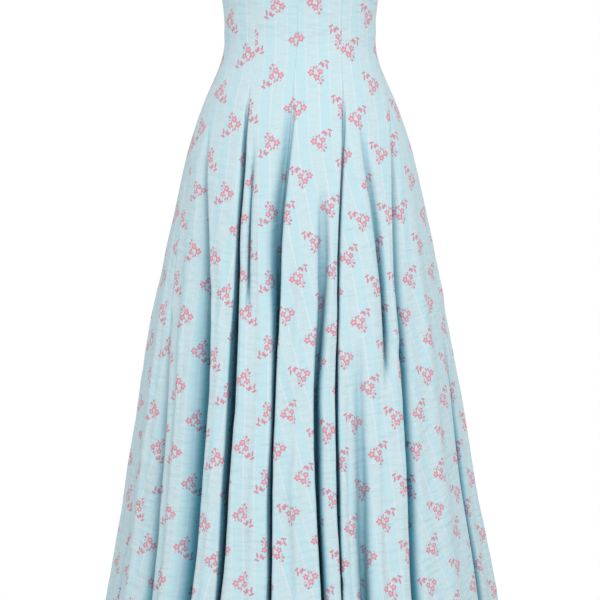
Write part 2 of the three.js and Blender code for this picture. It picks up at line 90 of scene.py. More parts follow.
# Folds round from the centre back by the wearer's right: azimuth of the valley at the waist, hip,
# thigh, knee and hem, start, end, depth, throat at the hip, knee and hem, shoulder before and
# after, lean, drop of the ridge before
FOLD_ROWS = (
    (-180, -180, -180, -181, -181, -200, HEM_Z, 74, 5, 5, 4, 12, 12, 4, 0),
    (-168, -168.5, -169.5, -170, -169, -90, HEM_Z, 52, 4, 4, 3.5, 16, 8, 8, 4),
    (-157, -157.5, -158, -159, -158.5, -240, HEM_Z, 40, 5, 5, 5, 18, 12, 0, 8),
    (-146, -146.5, -147.5, -148, -149, -65, HEM_Z, 82, 5, 6, 4, 12, 9, 8, 0),
    (-131, -132, -134, -136, -137.5, -130, HEM_Z, 58, 5, 4, 4, 20, 9, 9, 3),
    (-120, -119.5, -121, -123, -125, -70, HEM_Z, 70, 4.5, 5, 4, 12, 14, -6, 0),
    (-111, -107.5, -107, -109, -111.5, -210, HEM_Z, 46, 5, 5, 5, 22, 12, 6, 5),
    (-103, -95, -93, -95, -98, -150, HEM_Z, 60, 4.5, 4, 4, 16, 14, 4, 0),
    (-96, -85, -79, -75, -71, -420, HEM_Z, 12, 9, 9, 9, 30, 30, 0, 0),
    (-88, -74, -66, -55.9, -47.3, -420, HEM_Z, 40, 5, 7, 6, 36, 6, 9, 0),
    (-62, -58, -43.3, -35.0, -33.8, -130, HEM_Z, 70, 6, 7, 6, 60, 4, 11, 0),
    (-36, -30.6, -27.3, -24.5, -23.7, -62, HEM_Z, 88, 3, 7, 2.6, 3, 5, -4, 0),
    (-30, -25.2, -22, -19.5, -18.5, -140, -480, 60, 2.6, 2.6, 2.6, 4, 6, 2, 7),
    (-1.9, -5.7, -9.1, -9.4, -8.9, -66, HEM_Z, 78, 6.5, 2.8, 2.6, (24, 6), 5, 7, 0),
    (12, 11, 10, 5.9, 6.8, -220, HEM_Z, 66, 6.5, 4.4, 1.6, (12, 4), (18, 12), -3, 3),
    (33, 24.2, 16.6, 13, 11.4, -58, HEM_Z, 60, 2.4, 2.4, 2.4, 5, 5, -3, 0),
    (38.5, 29, 24.6, 21.1, 18, -470, HEM_Z, 34, 5, 5, 5, 26, 16, 5, 4),
    (46, 35, 35.8, 31.3, 26, -105, -590, 62, 4.5, 3, 3, 8, 10, -4, 0),
    (88, 58, 44.1, 39, 33, -115, HEM_Z, 68, 3.2, 5, 5.5, 4, 20, -5, 0),
    (95, 79, 76, 71.7, 66, -470, HEM_Z, 84, 6, 8, 10, 5, 13, -7, 0),
    (102, 92, 93, 95, 98, -160, HEM_Z, 60, 4.5, 4, 4, 14, 16, -4, 0),
    (110, 106.5, 107, 110, 112, -200, HEM_Z, 44, 5, 5, 5, 12, 22, -5, 6),
    (120, 120, 121, 122.5, 124, -80, HEM_Z, 68, 4.5, 5, 4, 12, 14, 6, 0),
    (132, 133, 134, 136, 137, -150, HEM_Z, 54, 5, 4, 4, 10, 20, -8, 4),
    (146, 146.5, 147.5, 148.5, 149, -62, HEM_Z, 84, 5, 6, 4, 9, 12, -8, 0),
    (158, 158.5, 159.5, 160.5, 160, -230, HEM_Z, 42, 5, 5, 4.5, 12, 18, 0, 7),
    (169, 169.5, 170, 171, 170.5, -85, HEM_Z, 54, 4, 4, 3.5, 8, 16, -8, 4),
)

# Heights at which the azimuths are given, and those of the throats and shoulders
PLACE_Z = (HEM_Z, -600, -350, -150, 0)
THROAT_Z = (HEM_Z, -580, -330)

# Cloth taken up down the gown: height, length of cloth from the waist
TAKE_UP = ((-1080, 1091), (-885, 890.4), (-555, 550.7), (-280, 268), (0, 0), (220, -210))

# Creases laid in one by one: azimuth and height of both ends, width, height over the cloth
CREASE_ROWS = (
    (-0.8, -560, -4.2, -735, 15, -6.0),
    (-4.2, -735, -3.0, -1000, 17, -6.5),
    (-7.0, -480, -1.2, -625, 7, 2.2),
    (-1.6, -640, -0.9, -900, 10, 2.4),
    (25.5, -200, 27.5, -228, 4, 2.8),
    (25.9, -208, 27.7, -222, 4, -2.4),
    (26.0, -222, 28.3, -240, 4, 2.4),
    (40.5, -700, 47.0, -850, 10, 1.5),
    (42.5, -690, 49.0, -860, 9, -1.3),
    (46.0, -740, 52.0, -930, 12, 1.2),
    (57.0, -560, 62.0, -730, 11, -1.6),
    (38.0, -500, 41.0, -560, 6, -2.0),
    (12.6, -860, 14.4, -886, 5, 1.8),
    (12.2, -872, 14.0, -896, 5, -1.8),
    (-66.0, -680, -61.0, -705, 6, 1.8),
    (-66.5, -694, -62.0, -716, 6, -1.6),
    (-68.0, -800, -62.5, -842, 7, 2.2),
    (-68.5, -822, -63.5, -862, 7, -2.0),
    (-70.0, -850, -65.0, -890, 7, 1.8),
    (-53.0, -860, -52.0, -990, 10, -2.6),
    (-38.5, -690, -37.5, -830, 9, -2.2),
    (-39.0, -420, -37.0, -560, 9, 2.2),
    (-47.0, -470, -49.0, -700, 12, -2.8),
    (-14.5, -660, -14.0, -1010, 14, 2.4),
    (19.4, -420, 20.0, -560, 9, -2.2),
    (28.0, -650, 27.0, -960, 10, -2.6),
    (24.0, -760, 22.5, -1010, 9, 2.0),
    (-20.0, 10, 20.0, 14, 6, 0.9),
    (-24.0, -8, 16.0, -12, 6, -0.8),
    (-52.0, 6, -78.0, 16, 6, 1.0),
    (54.0, 4, 80.0, 14, 6, 1.0),
    (60.0, -14, 84.0, -20, 6, -0.9),
    (125.0, 6, 165.0, 12, 7, 1.1),
    (-128.0, 8, -168.0, 4, 7, 1.1),
    (-130.0, -14, -160.0, -10, 7, -1.0),
    (84.0, -420, 87.0, -640, 13, -3.0),
    (85.0, -760, 82.0, -1000, 14, 2.6),
    (104.5, -560, 103.0, -820, 12, -2.8),
    (118.0, -360, 116.0, -560, 10, 2.2),
    (129.0, -720, 130.5, -980, 13, -3.0),
    (141.0, -340, 142.0, -520, 9, 2.0),
    (143.0, -640, 142.0, -930, 12, -2.6),
    (154.0, -560, 154.5, -900, 12, 2.4),
    (165.0, -380, 165.5, -640, 10, -2.4),
    (176.0, -520, 175.0, -860, 13, -2.8),
    (-174.0, -460, -175.0, -760, 13, 2.6),
    (-163.0, -620, -163.5, -960, 12, -2.8),
    (-152.0, -420, -153.0, -700, 10, 2.2),
    (-142.0, -560, -143.0, -900, 12, -2.8),
    (-128.0, -460, -130.0, -760, 12, 2.4),
    (-116.0, -640, -118.0, -960, 13, -2.8),
    (-101.0, -420, -102.0, -700, 12, 2.4),
    (-86.0, -520, -88.0, -820, 13, -3.0),
)


class Lie(Enum):
    """Which way up the cloth of a gore was laid when it was cut."""

    STRAIGHT = 1
    TURNED = -1


def ease(value: np.ndarray | float) -> np.ndarray:
    """Returns a smooth step from 0 to 1 as value goes from 0 to 1."""
    t = np.clip(value, 0.0, 1.0)
    return t * t * (3 - 2 * t)


class SmoothCurve:
    """Smooth curve through points given from left to right, with no overshoot."""

    def __init__(self, xs: tuple[float, ...], ys: tuple[float, ...]) -> None:
        """Works out the slope at each point.

        Args:
            xs: Places of the points, rising.
            ys: Values at the points.
        """
        self.xs = np.array(xs, float)
        self.ys = np.array(ys, float)
        secants = np.diff(self.ys) / np.diff(self.xs)
        left = np.concatenate([secants[:1], secants])
        right = np.concatenate([secants, secants[-1:]])
        agree = left * right > 0
        self.slopes = np.where(agree, 2 * left * right / np.where(agree, left + right, 1.0), 0.0)

    def __call__(self, x: np.ndarray | float) -> np.ndarray:
        """Returns the value of the curve at x."""
        i = np.clip(np.searchsorted(self.xs, x) - 1, 0, len(self.xs) - 2)
        span = self.xs[i + 1] - self.xs[i]
        t = np.clip((x - self.xs[i]) / span, 0.0, 1.0)
        start = (1 + 2 * t) * (1 - t) ** 2 * self.ys[i] + t * (1 - t) ** 2 * span * self.slopes[i]
        end = t * t * (3 - 2 * t) * self.ys[i + 1] + t * t * (t - 1) * span * self.slopes[i + 1]
        return start + end


def wrapped(azimuth: np.ndarray | float) -> np.ndarray:
    """Returns azimuths brought into the turn from -180 to 180."""
    return azimuth - 360 * np.round(azimuth / 360)


def section_curve(column: int) -> SmoothCurve:
    """Returns one column of SECTIONS as a curve over height."""
    return SmoothCurve(*zip(*[(row[0], row[column]) for row in SECTIONS]))


@dataclass(frozen=True)
class Figure:
    """Smooth outline that the cloth hangs on, before any fold."""

    cup_azimuth: float = 34.0
    cup_spread: float = 19.0
    cup_z: float = 146.0
    cup_height: float = 46.0
    cup_rise: float = 15.0
    half_width: SmoothCurve = section_curve(1)
    front: SmoothCurve = section_curve(2)
    back: SmoothCurve = section_curve(3)
    neck_edge: SmoothCurve = SmoothCurve(*zip(*NECK_EDGE))

    def depth(self, azimuth: np.ndarray, z: np.ndarray) -> np.ndarray:
        """Returns how deep the outline is towards an azimuth."""
        return np.where(np.cos(np.radians(azimuth)) > 0, self.front(z), self.back(z))

    def along(self, azimuth: np.ndarray, z: np.ndarray) -> tuple[np.ndarray, np.ndarray, np.ndarray]:
        """Finds the way along the outline.

        Args:
            azimuth: Azimuths in degrees.
            z: Heights.

        Returns:
            The unit vector's x and y, and the length that one degree covers.
        """
        a = np.radians(azimuth)
        x = self.half_width(z) * np.cos(a)
        y = self.depth(azimuth, z) * np.sin(a)
        length = np.hypot(x, y)
        return x / length, y / length, np.radians(length)

    def point(self, azimuth: np.ndarray, z: np.ndarray) -> tuple[np.ndarray, np.ndarray]:
        """Returns the x and y of the outline at an azimuth and height."""
        a = np.radians(azimuth)
        way_x, way_y, _ = self.along(azimuth, z)
        across = (np.abs(wrapped(azimuth)) - self.cup_azimuth) / self.cup_spread
        up = (z - self.cup_z) / self.cup_height
        rise = self.cup_rise * np.exp(-across * across - up * up)
        x = self.half_width(z) * np.sin(a) + way_y * rise
        y = -self.depth(azimuth, z) * np.cos(a) - way_x * rise
        return x, y


class Fold:
    """One fold of the skirt, with its place and throat at every height."""

    def __init__(self, row: tuple) -> None:
        """Reads the fold's row of FOLD_ROWS."""
        self.azimuth = SmoothCurve(PLACE_Z, tuple(reversed(row[:5])))
        self.start, self.end, self.depth = row[5:8]
        self.throat = SmoothCurve(THROAT_Z, tuple(reversed(row[8:11])))
        self.before, self.after = (self.shoulder(size) for size in row[11:13])
        self.lean, self.drop = row[13:]

    def shoulder(self, size: float | tuple[float, float]) -> SmoothCurve:
        """Returns a shoulder's radius by height, from one size or from those at hip and hem."""
        hip, hem = size if isinstance(size, tuple) else (size, size)
        return SmoothCurve(THROAT_Z, (hem, hem, hip))


@dataclass
class Arm:
    """One side of a fold at every height: a flat, a shoulder, a wall and half of its bottom."""

    depth: np.ndarray
    throat: np.ndarray
    shoulder: np.ndarray
    turn: np.ndarray
    wall: np.ndarray
    need: np.ndarray
    reach: np.ndarray
    length: np.ndarray

    def place(self, share: float) -> tuple[np.ndarray, np.ndarray]:
        """Finds a place on the arm.

        Args:
            share: How far out of the bottom it is, from 0 to 1.

        Returns:
            The offset along the outline and the depth under it.
        """
        way = share * self.length
        wall_start = self.throat * self.turn
        shoulder_start = wall_start + self.wall
        flat_start = shoulder_start + self.shoulder * self.turn
        low = way / self.throat
        high = (flat_start - way) / self.shoulder
        where = [way < wall_start, way < shoulder_start, way < flat_start]
        offsets = [self.throat * np.sin(low), self.throat, self.need - self.shoulder * np.sin(high)]
        depths = [
            self.depth - self.throat * (1 - np.cos(low)),
            self.depth - self.throat - (way - wall_start),
            self.shoulder * (1 - np.cos(high)),
        ]
        return np.select(where, offsets, self.need + way - flat_start), np.select(where, depths, 0.0)


@dataclass
class Column:
    """Upright line of points of the cloth: inside a fold, or on the ridge before one."""

    index: int
    share: float
    in_fold: bool


@dataclass
class Drape:
    """The folded cloth all round, from the same sizes as the gown's solids."""

    figure: Figure = field(default_factory=Figure)
    folds: list[Fold] = field(default_factory=lambda: [Fold(row) for row in FOLD_ROWS])
    growth_power: float = 0.8
    soft_start: float = 0.08
    fade_length: float = 130.0
    drop_top: float = -130.0
    drop_length: float = 120.0
    lean_power: float = 1.6
    free_share: float = 0.3
    arm_share: float = 0.46
    pair_share: float = 0.92
    least_shoulder: float = 2.5
    crown_share: float = 0.06
    crown_limit: float = 6.0
    crown_top: float = -200.0
    crown_full: float = -450.0
    column_step: float = 5.7
    least_columns: int = 5
    # Shade painted into the cloth deep in the folds: its reach as a share of throat and shoulder,
    # least reach, and the fold depth at full strength
    shade_share: float = 0.42
    shade_least: float = 9.0
    shade_full: float = 34.0

    def fold(self, index: int) -> Fold:
        """Returns a fold, counted on round the gown."""
        return self.folds[index % len(self.folds)]

    def azimuth(self, index: int, z: np.ndarray) -> np.ndarray:
        """Returns the azimuth of a fold, counted on past 180 after the last one."""
        return self.fold(index).azimuth(z) + 360 * (index // len(self.folds))

    def gap_before(self, index: int, z: np.ndarray) -> np.ndarray:
        """Returns the distance along the outline from the fold before to this one."""
        here = self.azimuth(index, z)
        before = self.azimuth(index - 1, z)
        return (here - before) * self.figure.along((here + before) / 2, z)[2]

    def closing(self, fold: Fold, z: np.ndarray) -> np.ndarray:
        """Returns 1 along most of a fold, down to 0 where a short one has closed again."""
        return ease((z - fold.end) / self.fade_length) if fold.end > HEM_Z else np.ones_like(z)

    def growth(self, fold: Fold, z: np.ndarray) -> np.ndarray:
        """Returns the share of its depth that a fold has reached."""
        t = np.clip((fold.start - z) / (fold.start - HEM_Z), 0.0, 1.0)
        return np.power(t, self.growth_power) * ease(t / self.soft_start) * self.closing(fold, z)

    def ridge_drop(self, index: int, z: np.ndarray) -> np.ndarray:
        """Returns how far the ridge before a fold lies back from the outline."""
        fold = self.fold(index)
        return fold.drop * ease((self.drop_top - z) / self.drop_length) * self.closing(fold, z)

    def ridge_crown(self, index: int, z: np.ndarray) -> np.ndarray:
        """Returns how far a ridge's edges lie under its middle."""
        shown = ease((self.crown_top - z) / (self.crown_top - self.crown_full))
        return np.minimum(self.crown_limit, self.gap_before(index, z) * self.crown_share) * shown

    def arm(self, index: int, side: int, z: np.ndarray) -> Arm:
        """Works out one side of a fold.

        Args:
            index: The fold.
            side: -1 for the side before its bottom, 1 for the side after it.
            z: Heights.

        Returns:
            The arm at those heights.
        """
        fold = self.fold(index)
        size = (fold.before if side < 0 else fold.after)(z)
        gap = self.gap_before(index if side < 0 else index + 1, z)
        depth = fold.depth * self.growth(fold, z)
        throat = fold.throat(z)
        other = self.fold(index + side)
        other_size = (other.after if side < 0 else other.before)(z) + other.throat(z)
        taken = np.maximum(other_size, self.free_share * gap)
        room = np.maximum(self.arm_share * gap, self.pair_share * gap - taken) - throat
        shoulder = np.maximum(self.least_shoulder, np.minimum(size, room))
        radius = throat + shoulder
        turn = np.arccos(np.clip(1 - depth / radius, 0.0, 1.0))
        wall = np.maximum(0, depth - radius)
        need = radius * np.sin(turn)
        reach = np.maximum(need, self.free_share * gap)
        length = throat * turn + wall + shoulder * turn + reach - need
        return Arm(depth, throat, shoulder, turn, wall, need, reach, length)

    def turn_across(self, index: int, side: int, z: np.ndarray) -> np.ndarray:
        """Returns the turn from a fold's azimuth to the end of one of its sides."""
        offset = self.arm(index, side, z).place(1.0)[0]
        return side * offset / self.figure.along(self.azimuth(index, z), z)[2]

    def top_azimuth(self, column: Column) -> float:
        """Returns the azimuth of a column at the waist, which sets its neck edge."""
        return float(self.places(column, np.zeros(1))[0][0])

    def places(self, column: Column, z: np.ndarray) -> tuple[np.ndarray, ...]:
        """Finds the points of a column.

        Args:
            column: The column.
            z: Its heights.

        Returns:
            The azimuth, x, y, how deep in the fold each point has sunk, and its painted shade from 0
            to 1.
        """
        return self.fold_points(column, z) if column.in_fold else self.ridge_points(column, z)

    def fold_points(self, column: Column, z: np.ndarray) -> tuple[np.ndarray, ...]:
        """Finds the points of a column inside a fold, as places does."""
        index, across = column.index, column.share
        fold = self.fold(index)
        here = self.azimuth(index, z)
        way_x, way_y, rate = self.figure.along(here, z)
        side = -1 if across < 0 else 1
        arm = self.arm(index, side, z)
        offset, depth = arm.place(abs(across))
        before = self.ridge_drop(index, z) + self.ridge_crown(index, z)
        after = self.ridge_drop(index + 1, z) + self.ridge_crown(index + 1, z)
        back = before + (after - before) * ease((across + 1) / 2) + depth
        share = np.where(arm.depth > 0, depth / np.where(arm.depth > 0, arm.depth, 1), 0.0)
        slip = fold.lean * self.growth(fold, z) * np.power(np.clip(share, 0, 1), self.lean_power)
        azimuth = here + side * offset / rate
        x, y = self.figure.point(azimuth, z)
        # Painted shade: darker the deeper a point has sunk, sooner in narrow folds, weaker in shallow
        # ones
        mouth = np.maximum(self.shade_least, self.shade_share * (arm.throat + arm.shoulder))
        shade = ease(depth / mouth) * np.clip(arm.depth / self.shade_full, 0.0, 1.0)
        moved_x = x + way_x * slip - way_y * back
        moved_y = y + way_y * slip + way_x * back
        return azimuth, moved_x, moved_y, depth, shade

    def ridge_points(self, column: Column, z: np.ndarray) -> tuple[np.ndarray, ...]:
        """Finds the points of a column on the ridge before a fold, as places does."""
        index, share = column.index, column.share
        start = self.azimuth(index - 1, z) + self.turn_across(index - 1, 1, z)
        end = self.azimuth(index, z) + self.turn_across(index, -1, z)
        azimuth = start + (end - start) * share
        way_x, way_y, _ = self.figure.along(azimuth, z)
        x, y = self.figure.point(azimuth, z)
        crown = self.ridge_crown(index, z) * (1 - math.cos(2 * math.pi * (share - 0.5))) / 2
        back = self.ridge_drop(index, z) + crown
        none = np.zeros_like(z)
        return azimuth, x - way_y * back, y + way_x * back, none, none

    def arm_columns(self, index: int, side: int) -> list[Column]:
        """Lists the columns of one side of a fold, from its bottom out."""
        length = float(self.arm(index, side, np.array([HEM_Z])).length[0])
        count = max(self.least_columns, math.ceil(length / self.column_step))
        return [Column(index, side * step / count, True) for step in range(1, count + 1)]

    def ridge_columns(self, index: int) -> list[Column]:
        """Lists the columns on the ridge before a fold."""
        hem = np.array([HEM_Z])
        gap = float(self.gap_before(index, hem)[0])
        used = self.arm(index - 1, 1, hem).reach[0] + self.arm(index, -1, hem).reach[0]
        count = max(1, round(float(gap - used) / self.column_step))
        return [Column(index, step / (count + 1), False) for step in range(1, count + 1)]

    def columns(self, first: int, last: int) -> list[Column]:
        """Lists the columns from the bottom of one fold to the bottom of another.

        Args:
            first: Fold at the first seam.
            last: Fold at the last seam.

        Returns:
            The columns in order.
        """
        made = [Column(first, 0.0, True), *self.arm_columns(first, 1)]
        for index in range(first + 1, last + 1):
            made += self.ridge_columns(index)
            made += reversed(self.arm_columns(index, -1))
            made.append(Column(index, 0.0, True))
            if index < last:
                made += self.arm_columns(index, 1)
        return made


@dataclass(frozen=True)
class WaveField:
    """Smooth random field over space, the same in every run."""

    seed: int
    across: float
    upright: float
    waves: int = 16

    def __call__(self, x: np.ndarray, y: np.ndarray, z: np.ndarray) -> np.ndarray:
        """Returns values of about -1 to 1 at points given in millimetres."""
        rng = np.random.default_rng(self.seed)
        total = np.zeros_like(x)
        for _ in range(self.waves):
            level = rng.normal(size=2) * 2 * math.pi / self.across
            lift = rng.normal() * 2 * math.pi / self.upright
            total += np.sin(x * level[0] + y * level[1] + z * lift + rng.uniform(0, 2 * math.pi))
        return total / math.sqrt(self.waves)


@dataclass(frozen=True)
class Gore:
    """One cut piece of the gown, from seam to seam.

    first and last are the folds that its seams lie in. grain gives, for several heights, the
    azimuth of a line on the gore's main ridge and how far across the pattern the line lies
    there. sprig_z is the height of a sprig on that line.
    flat and area are the piece's size as it was cut, in metres, with the cloth that is turned
    in at its edges: the spans of the flat layout, and the surface of the cloth itself.
    """

    node: str
    first: int
    last: int
    lie: Lie
    grain: tuple[tuple[float, float, float], ...]
    sprig_z: float
    flat: tuple[float, float]
    area: float


GORES = (
    Gore(
        "back_centre_right", 0, 3, Lie.STRAIGHT,
        ((-1080, -164, 30), (-600, -164.5, 14), (0, -163, 0)), -30, (0.52, 1.27), 0.346,
    ),
    Gore(
        "back_side_right", 3, 9, Lie.STRAIGHT,
        ((-1080, -60, 175), (-876, -62.8, 125), (-773, -64.4, 106), (-606, -68.3, 52),
         (-447, -71, 27), (-264, -77, 0), (0, -92.5, -20)), -58, (1.13, 1.31), 0.701,
    ),
    Gore(
        "front_side_right", 9, 11, Lie.STRAIGHT,
        ((-1080, -26.3, 155), (-886, -27.5, 115), (-703, -28.8, 77), (-427, -33, 30),
         (-242, -37, 0), (0, -43.7, 0)), -27.4, (0.41, 1.35), 0.317,
    ),
    Gore(
        "front_centre_right", 11, 13, Lie.STRAIGHT,
        ((-1080, -11.8, -19), (-600, -15, -19), (-350, -17.1, -19), (0, -27.5, -19)),
        -63.6, (0.28, 1.33), 0.225,
    ),
    Gore(
        "front_centre_left", 13, 15, Lie.TURNED,
        ((-1080, -1, -262), (-865, -1.2, -210), (-751, -1.3, -179), (-639, -1.3, -152),
         (-539, -1.4, -120), (-402, -1.2, -82), (-289, 0, -54), (-164, 2.6, -26), (0, 6, -15)),
        -57, (0.46, 1.35), 0.294,
    ),
    Gore(
        "front_side_left", 15, 18, Lie.TURNED,
        ((-1080, 23.6, -28), (-806, 23.9, -17), (-577, 24, -5), (-360, 24.4, 14),
         (-232, 26.3, 50), (-120, 30.8, 69), (0, 42, 79)), -17, (0.41, 1.34), 0.272,
    ),
    Gore(
        "back_side_left", 18, 24, Lie.TURNED,
        ((-1080, 46.5, -238), (-865, 48, -149), (-726, 49.4, -95), (-664, 48.9, -79),
         (-556, 50.3, -45), (-385, 52, 3), (-180, 67, 30), (0, 91.5, 50)), -56.3, (1.38, 1.39), 0.839,
    ),
    Gore(
        "back_centre_left", 24, 27, Lie.TURNED,
        ((-1080, 164, -30), (-600, 165, -14), (0, 163, 0)), -60, (0.51, 1.27), 0.345,
    ),
)


@dataclass
class Grid:
    """Rows and columns of points of one gore, with what each point knows of its place."""

    point: np.ndarray
    inward: np.ndarray
    uv: np.ndarray
    # shade: how strongly shade is painted into the cloth's colour at each point, from 0 to 1
    shade: np.ndarray


def at_least(least: float, share: np.ndarray) -> np.ndarray:
    """Returns a share from 0 to 1 pressed into the range from least to 1."""
    return least + (1 - least) * share


def mesh_from(bm: bmesh.types.BMesh, name: str) -> bpy.types.Mesh:
    """Turns a bmesh into a mesh and frees it."""
    mesh = bpy.data.meshes.new(name)
    bm.to_mesh(mesh)
    bm.free()
    return mesh


def add_object(name: str, data: bpy.types.ID) -> bpy.types.Object:
    """Puts a new object in the scene."""
    made = bpy.data.objects.new(name, data)
    bpy.context.scene.collection.objects.link(made)
    return made


def add_piece(
    mesh: bpy.types.Mesh, material: bpy.types.Material, body: str = "gown",
) -> bpy.types.Object:
    """Makes a mesh a piece with the mesh's name.

    Args:
        mesh: The shape.
        material: Its finish.
        body: The body that it rides on.

    Returns:
        The piece.
    """
    mesh.materials.clear()
    mesh.materials.append(material)
    mesh.shade_smooth()
    piece = add_object(mesh.name, mesh)
    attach(piece, body)
    LOG.info("%s: %d faces", piece.name, len(mesh.polygons))
    return piece


def thicken(piece: bpy.types.Object, thickness: float, offset: float) -> None:
    """Gives a sheet its thickness in millimetres."""
    wall = piece.modifiers.new("thickness", "SOLIDIFY")
    wall.thickness = thickness * MM
    wall.offset = offset


@dataclass
class ClothMaker:
    """Makes the eight sheets of cloth."""

    drape: Drape = field(default_factory=Drape)
    bodice_rows: int = 24
    row_step: float = 6.9
    seam_gap: float = 0.04
    seam_dip: float = 0.22
    seam_reach: float = 2.6
    loose_top: float = -60.0
    loose_length: float = 420.0
    wander: float = 1.5
    sways: tuple[WaveField, ...] = (WaveField(11, 420, 420), WaveField(12, 420, 420))
    ripple: float = 0.75
    ripples: WaveField = WaveField(13, 150, 330)
    ripples_least: float = 0.25
    small_share: float = 0.45
    small_ripples: WaveField = WaveField(14, 60, 110)
    small_least: float = 0.35
    seam_pucker: float = 0.45
    pucker_reach: float = 9.0
    puckers: WaveField = WaveField(15, 900, 34)
    pucker_least: float = 0.35
    hidden_at: float = 22.0
    turned: tuple[tuple[float, float], ...] = ((0.0, 0.75), (1.4, 1.15), (5.0, 1.2), (9.0, 1.25))
    hem: tuple[tuple[float, float], ...] = ((0.0, 0.8), (1.4, 1.5), (9.0, 1.5), (18.0, 1.55))

    def heights(self, column: Column) -> np.ndarray:
        """Returns the heights of a column's points, from the neck edge down to the hem."""
        azimuth = self.drape.top_azimuth(column)
        top = float(self.drape.figure.neck_edge(abs(wrapped(azimuth))))
        count = round(-HEM_Z / self.row_step)
        shares = np.linspace(1, 0, self.bodice_rows + 1)
        return np.concatenate([top * shares, np.linspace(0, HEM_Z, count + 1)[1:]])

    def base(self, gore: Gore) -> tuple[np.ndarray, ...]:
        """Works out the gore's points with its folds and nothing finer.

        Args:
            gore: The gore.

        Returns:
            The points, their azimuths, how deep each has sunk into a fold, and its painted shade.
        """
        columns = self.drape.columns(gore.first, gore.last)
        rows = []
        for column in columns:
            z = self.heights(column)
            azimuth, x, y, sunk, shade = self.drape.places(column, z)
            rows.append(np.stack([x, y, z, azimuth, sunk, shade], axis=1))
        made = np.stack(rows, axis=1)
        return made[..., :3], made[..., 3], made[..., 4], made[..., 5]

    def outward(self, point: np.ndarray) -> np.ndarray:
        """Returns the unit vector out of the cloth at each point."""
        normal = np.cross(np.gradient(point, axis=0), np.gradient(point, axis=1))
        return normal / np.maximum(np.linalg.norm(normal, axis=2, keepdims=True), 1e-9)

    def crossways(self, point: np.ndarray) -> np.ndarray:
        """Returns the distance of each point along its row from the first seam."""
        steps = np.linalg.norm(np.diff(point, axis=1), axis=2)
        return np.concatenate([np.zeros((len(point), 1)), np.cumsum(steps, axis=1)], axis=1)

    def downways(self, point: np.ndarray) -> np.ndarray:
        """Returns the distance of each point down its column from the neck edge."""
        steps = np.linalg.norm(np.diff(point, axis=0), axis=2)
        return np.concatenate([np.zeros((1, point.shape[1])), np.cumsum(steps, axis=0)], axis=0)

    def flatten(self, gore: Gore, point: np.ndarray, azimuth: np.ndarray) -> np.ndarray:
        """Lays the gore out flat along its grain.

        Args:
            gore: The gore.
            point: Its points.
            azimuth: Their azimuths.

        Returns:
            Each point's place across and down the cloth, in millimetres.
        """
        rows, columns = azimuth.shape
        z = point[:, columns // 2, 2]
        levels, places, values = zip(*gore.grain)
        anchor = SmoothCurve(levels, places)(z)
        across = SmoothCurve(levels, values)(z)
        arc = self.crossways(point)
        steady = np.maximum.accumulate(azimuth + np.arange(columns) * 1e-7, axis=1)
        start = np.array([np.interp(anchor[r], steady[r], arc[r]) for r in range(rows)])
        column = np.array([np.interp(anchor[r], steady[r], np.arange(columns)) for r in range(rows)])
        u = arc - start[:, None] + across[:, None]
        down = self.downways(point)
        slope = np.gradient(u, axis=0) / np.maximum(np.gradient(down, axis=0), 1e-6)
        shear = np.concatenate([np.zeros((rows, 1)), np.cumsum(
            (slope[:, 1:] + slope[:, :-1]) / 2 * np.diff(arc, axis=1), axis=1)], axis=1)
        fixed = np.array([np.interp(column[r], np.arange(columns), shear[r]) for r in range(rows)])
        length = SmoothCurve(*zip(*TAKE_UP))
        v = (length(z) - length(gore.sprig_z))[:, None] - (shear - fixed[:, None])
        return np.stack([u, v], axis=2) * gore.lie.value

    def creased(self, azimuth: np.ndarray, z: np.ndarray) -> np.ndarray:
        """Returns how far the listed creases lift each point off the cloth."""
        figure = self.drape.figure
        around = wrapped(azimuth)
        lift = np.zeros_like(azimuth)
        for start, top, end, bottom, width, height in CREASE_ROWS:
            level = np.array((top + bottom) / 2)
            rate = float(figure.along(np.array((start + end) / 2), level)[2])
            way = np.array([(end - start) * rate, bottom - top])
            u = (around - start) * rate
            v = z - top
            t = np.clip((u * way[0] + v * way[1]) / float(way @ way), 0.0, 1.0)
            apart = (u - t * way[0]) ** 2 + (v - t * way[1]) ** 2
            lift += height * np.exp(-apart / width**2) * (1 - (2 * t - 1) ** 4)
        return lift

    def worn(self, point: np.ndarray, azimuth: np.ndarray, sunk: np.ndarray) -> np.ndarray:
        """Gives the cloth its hang, ripples, creases and puckered seams.

        Args:
            point: Points with the folds alone.
            azimuth: Their azimuths.
            sunk: How deep each has sunk into a fold, in millimetres.

        Returns:
            The moved points.
        """
        x, y, z = point[..., 0], point[..., 1], point[..., 2]
        arc = self.crossways(point)
        near = np.minimum(arc, arc[:, -1:] - arc)
        loose = ease((self.loose_top - z) / self.loose_length)
        moved = point.copy()
        for axis, sway in enumerate(self.sways):
            moved[..., axis] += self.wander * loose * sway(x, y, z)
        open_share = 1 - np.clip(sunk / self.hidden_at, 0.0, 1.0)
        lift = self.ripple * at_least(self.ripples_least, loose) * self.ripples(x, y, z)
        small = self.small_share * self.ripple * at_least(self.small_least, loose)
        lift += small * self.small_ripples(x, y, z)
        lift = (lift + self.creased(azimuth, z)) * open_share
        pucker = np.exp(-((near / self.pucker_reach) ** 2)) * at_least(self.pucker_least, open_share)
        lift += self.seam_pucker * pucker * self.puckers(x, y, z)
        lift -= self.seam_dip * np.exp(-((near / self.seam_reach) ** 2))
        return moved + self.outward(moved) * lift[..., None]

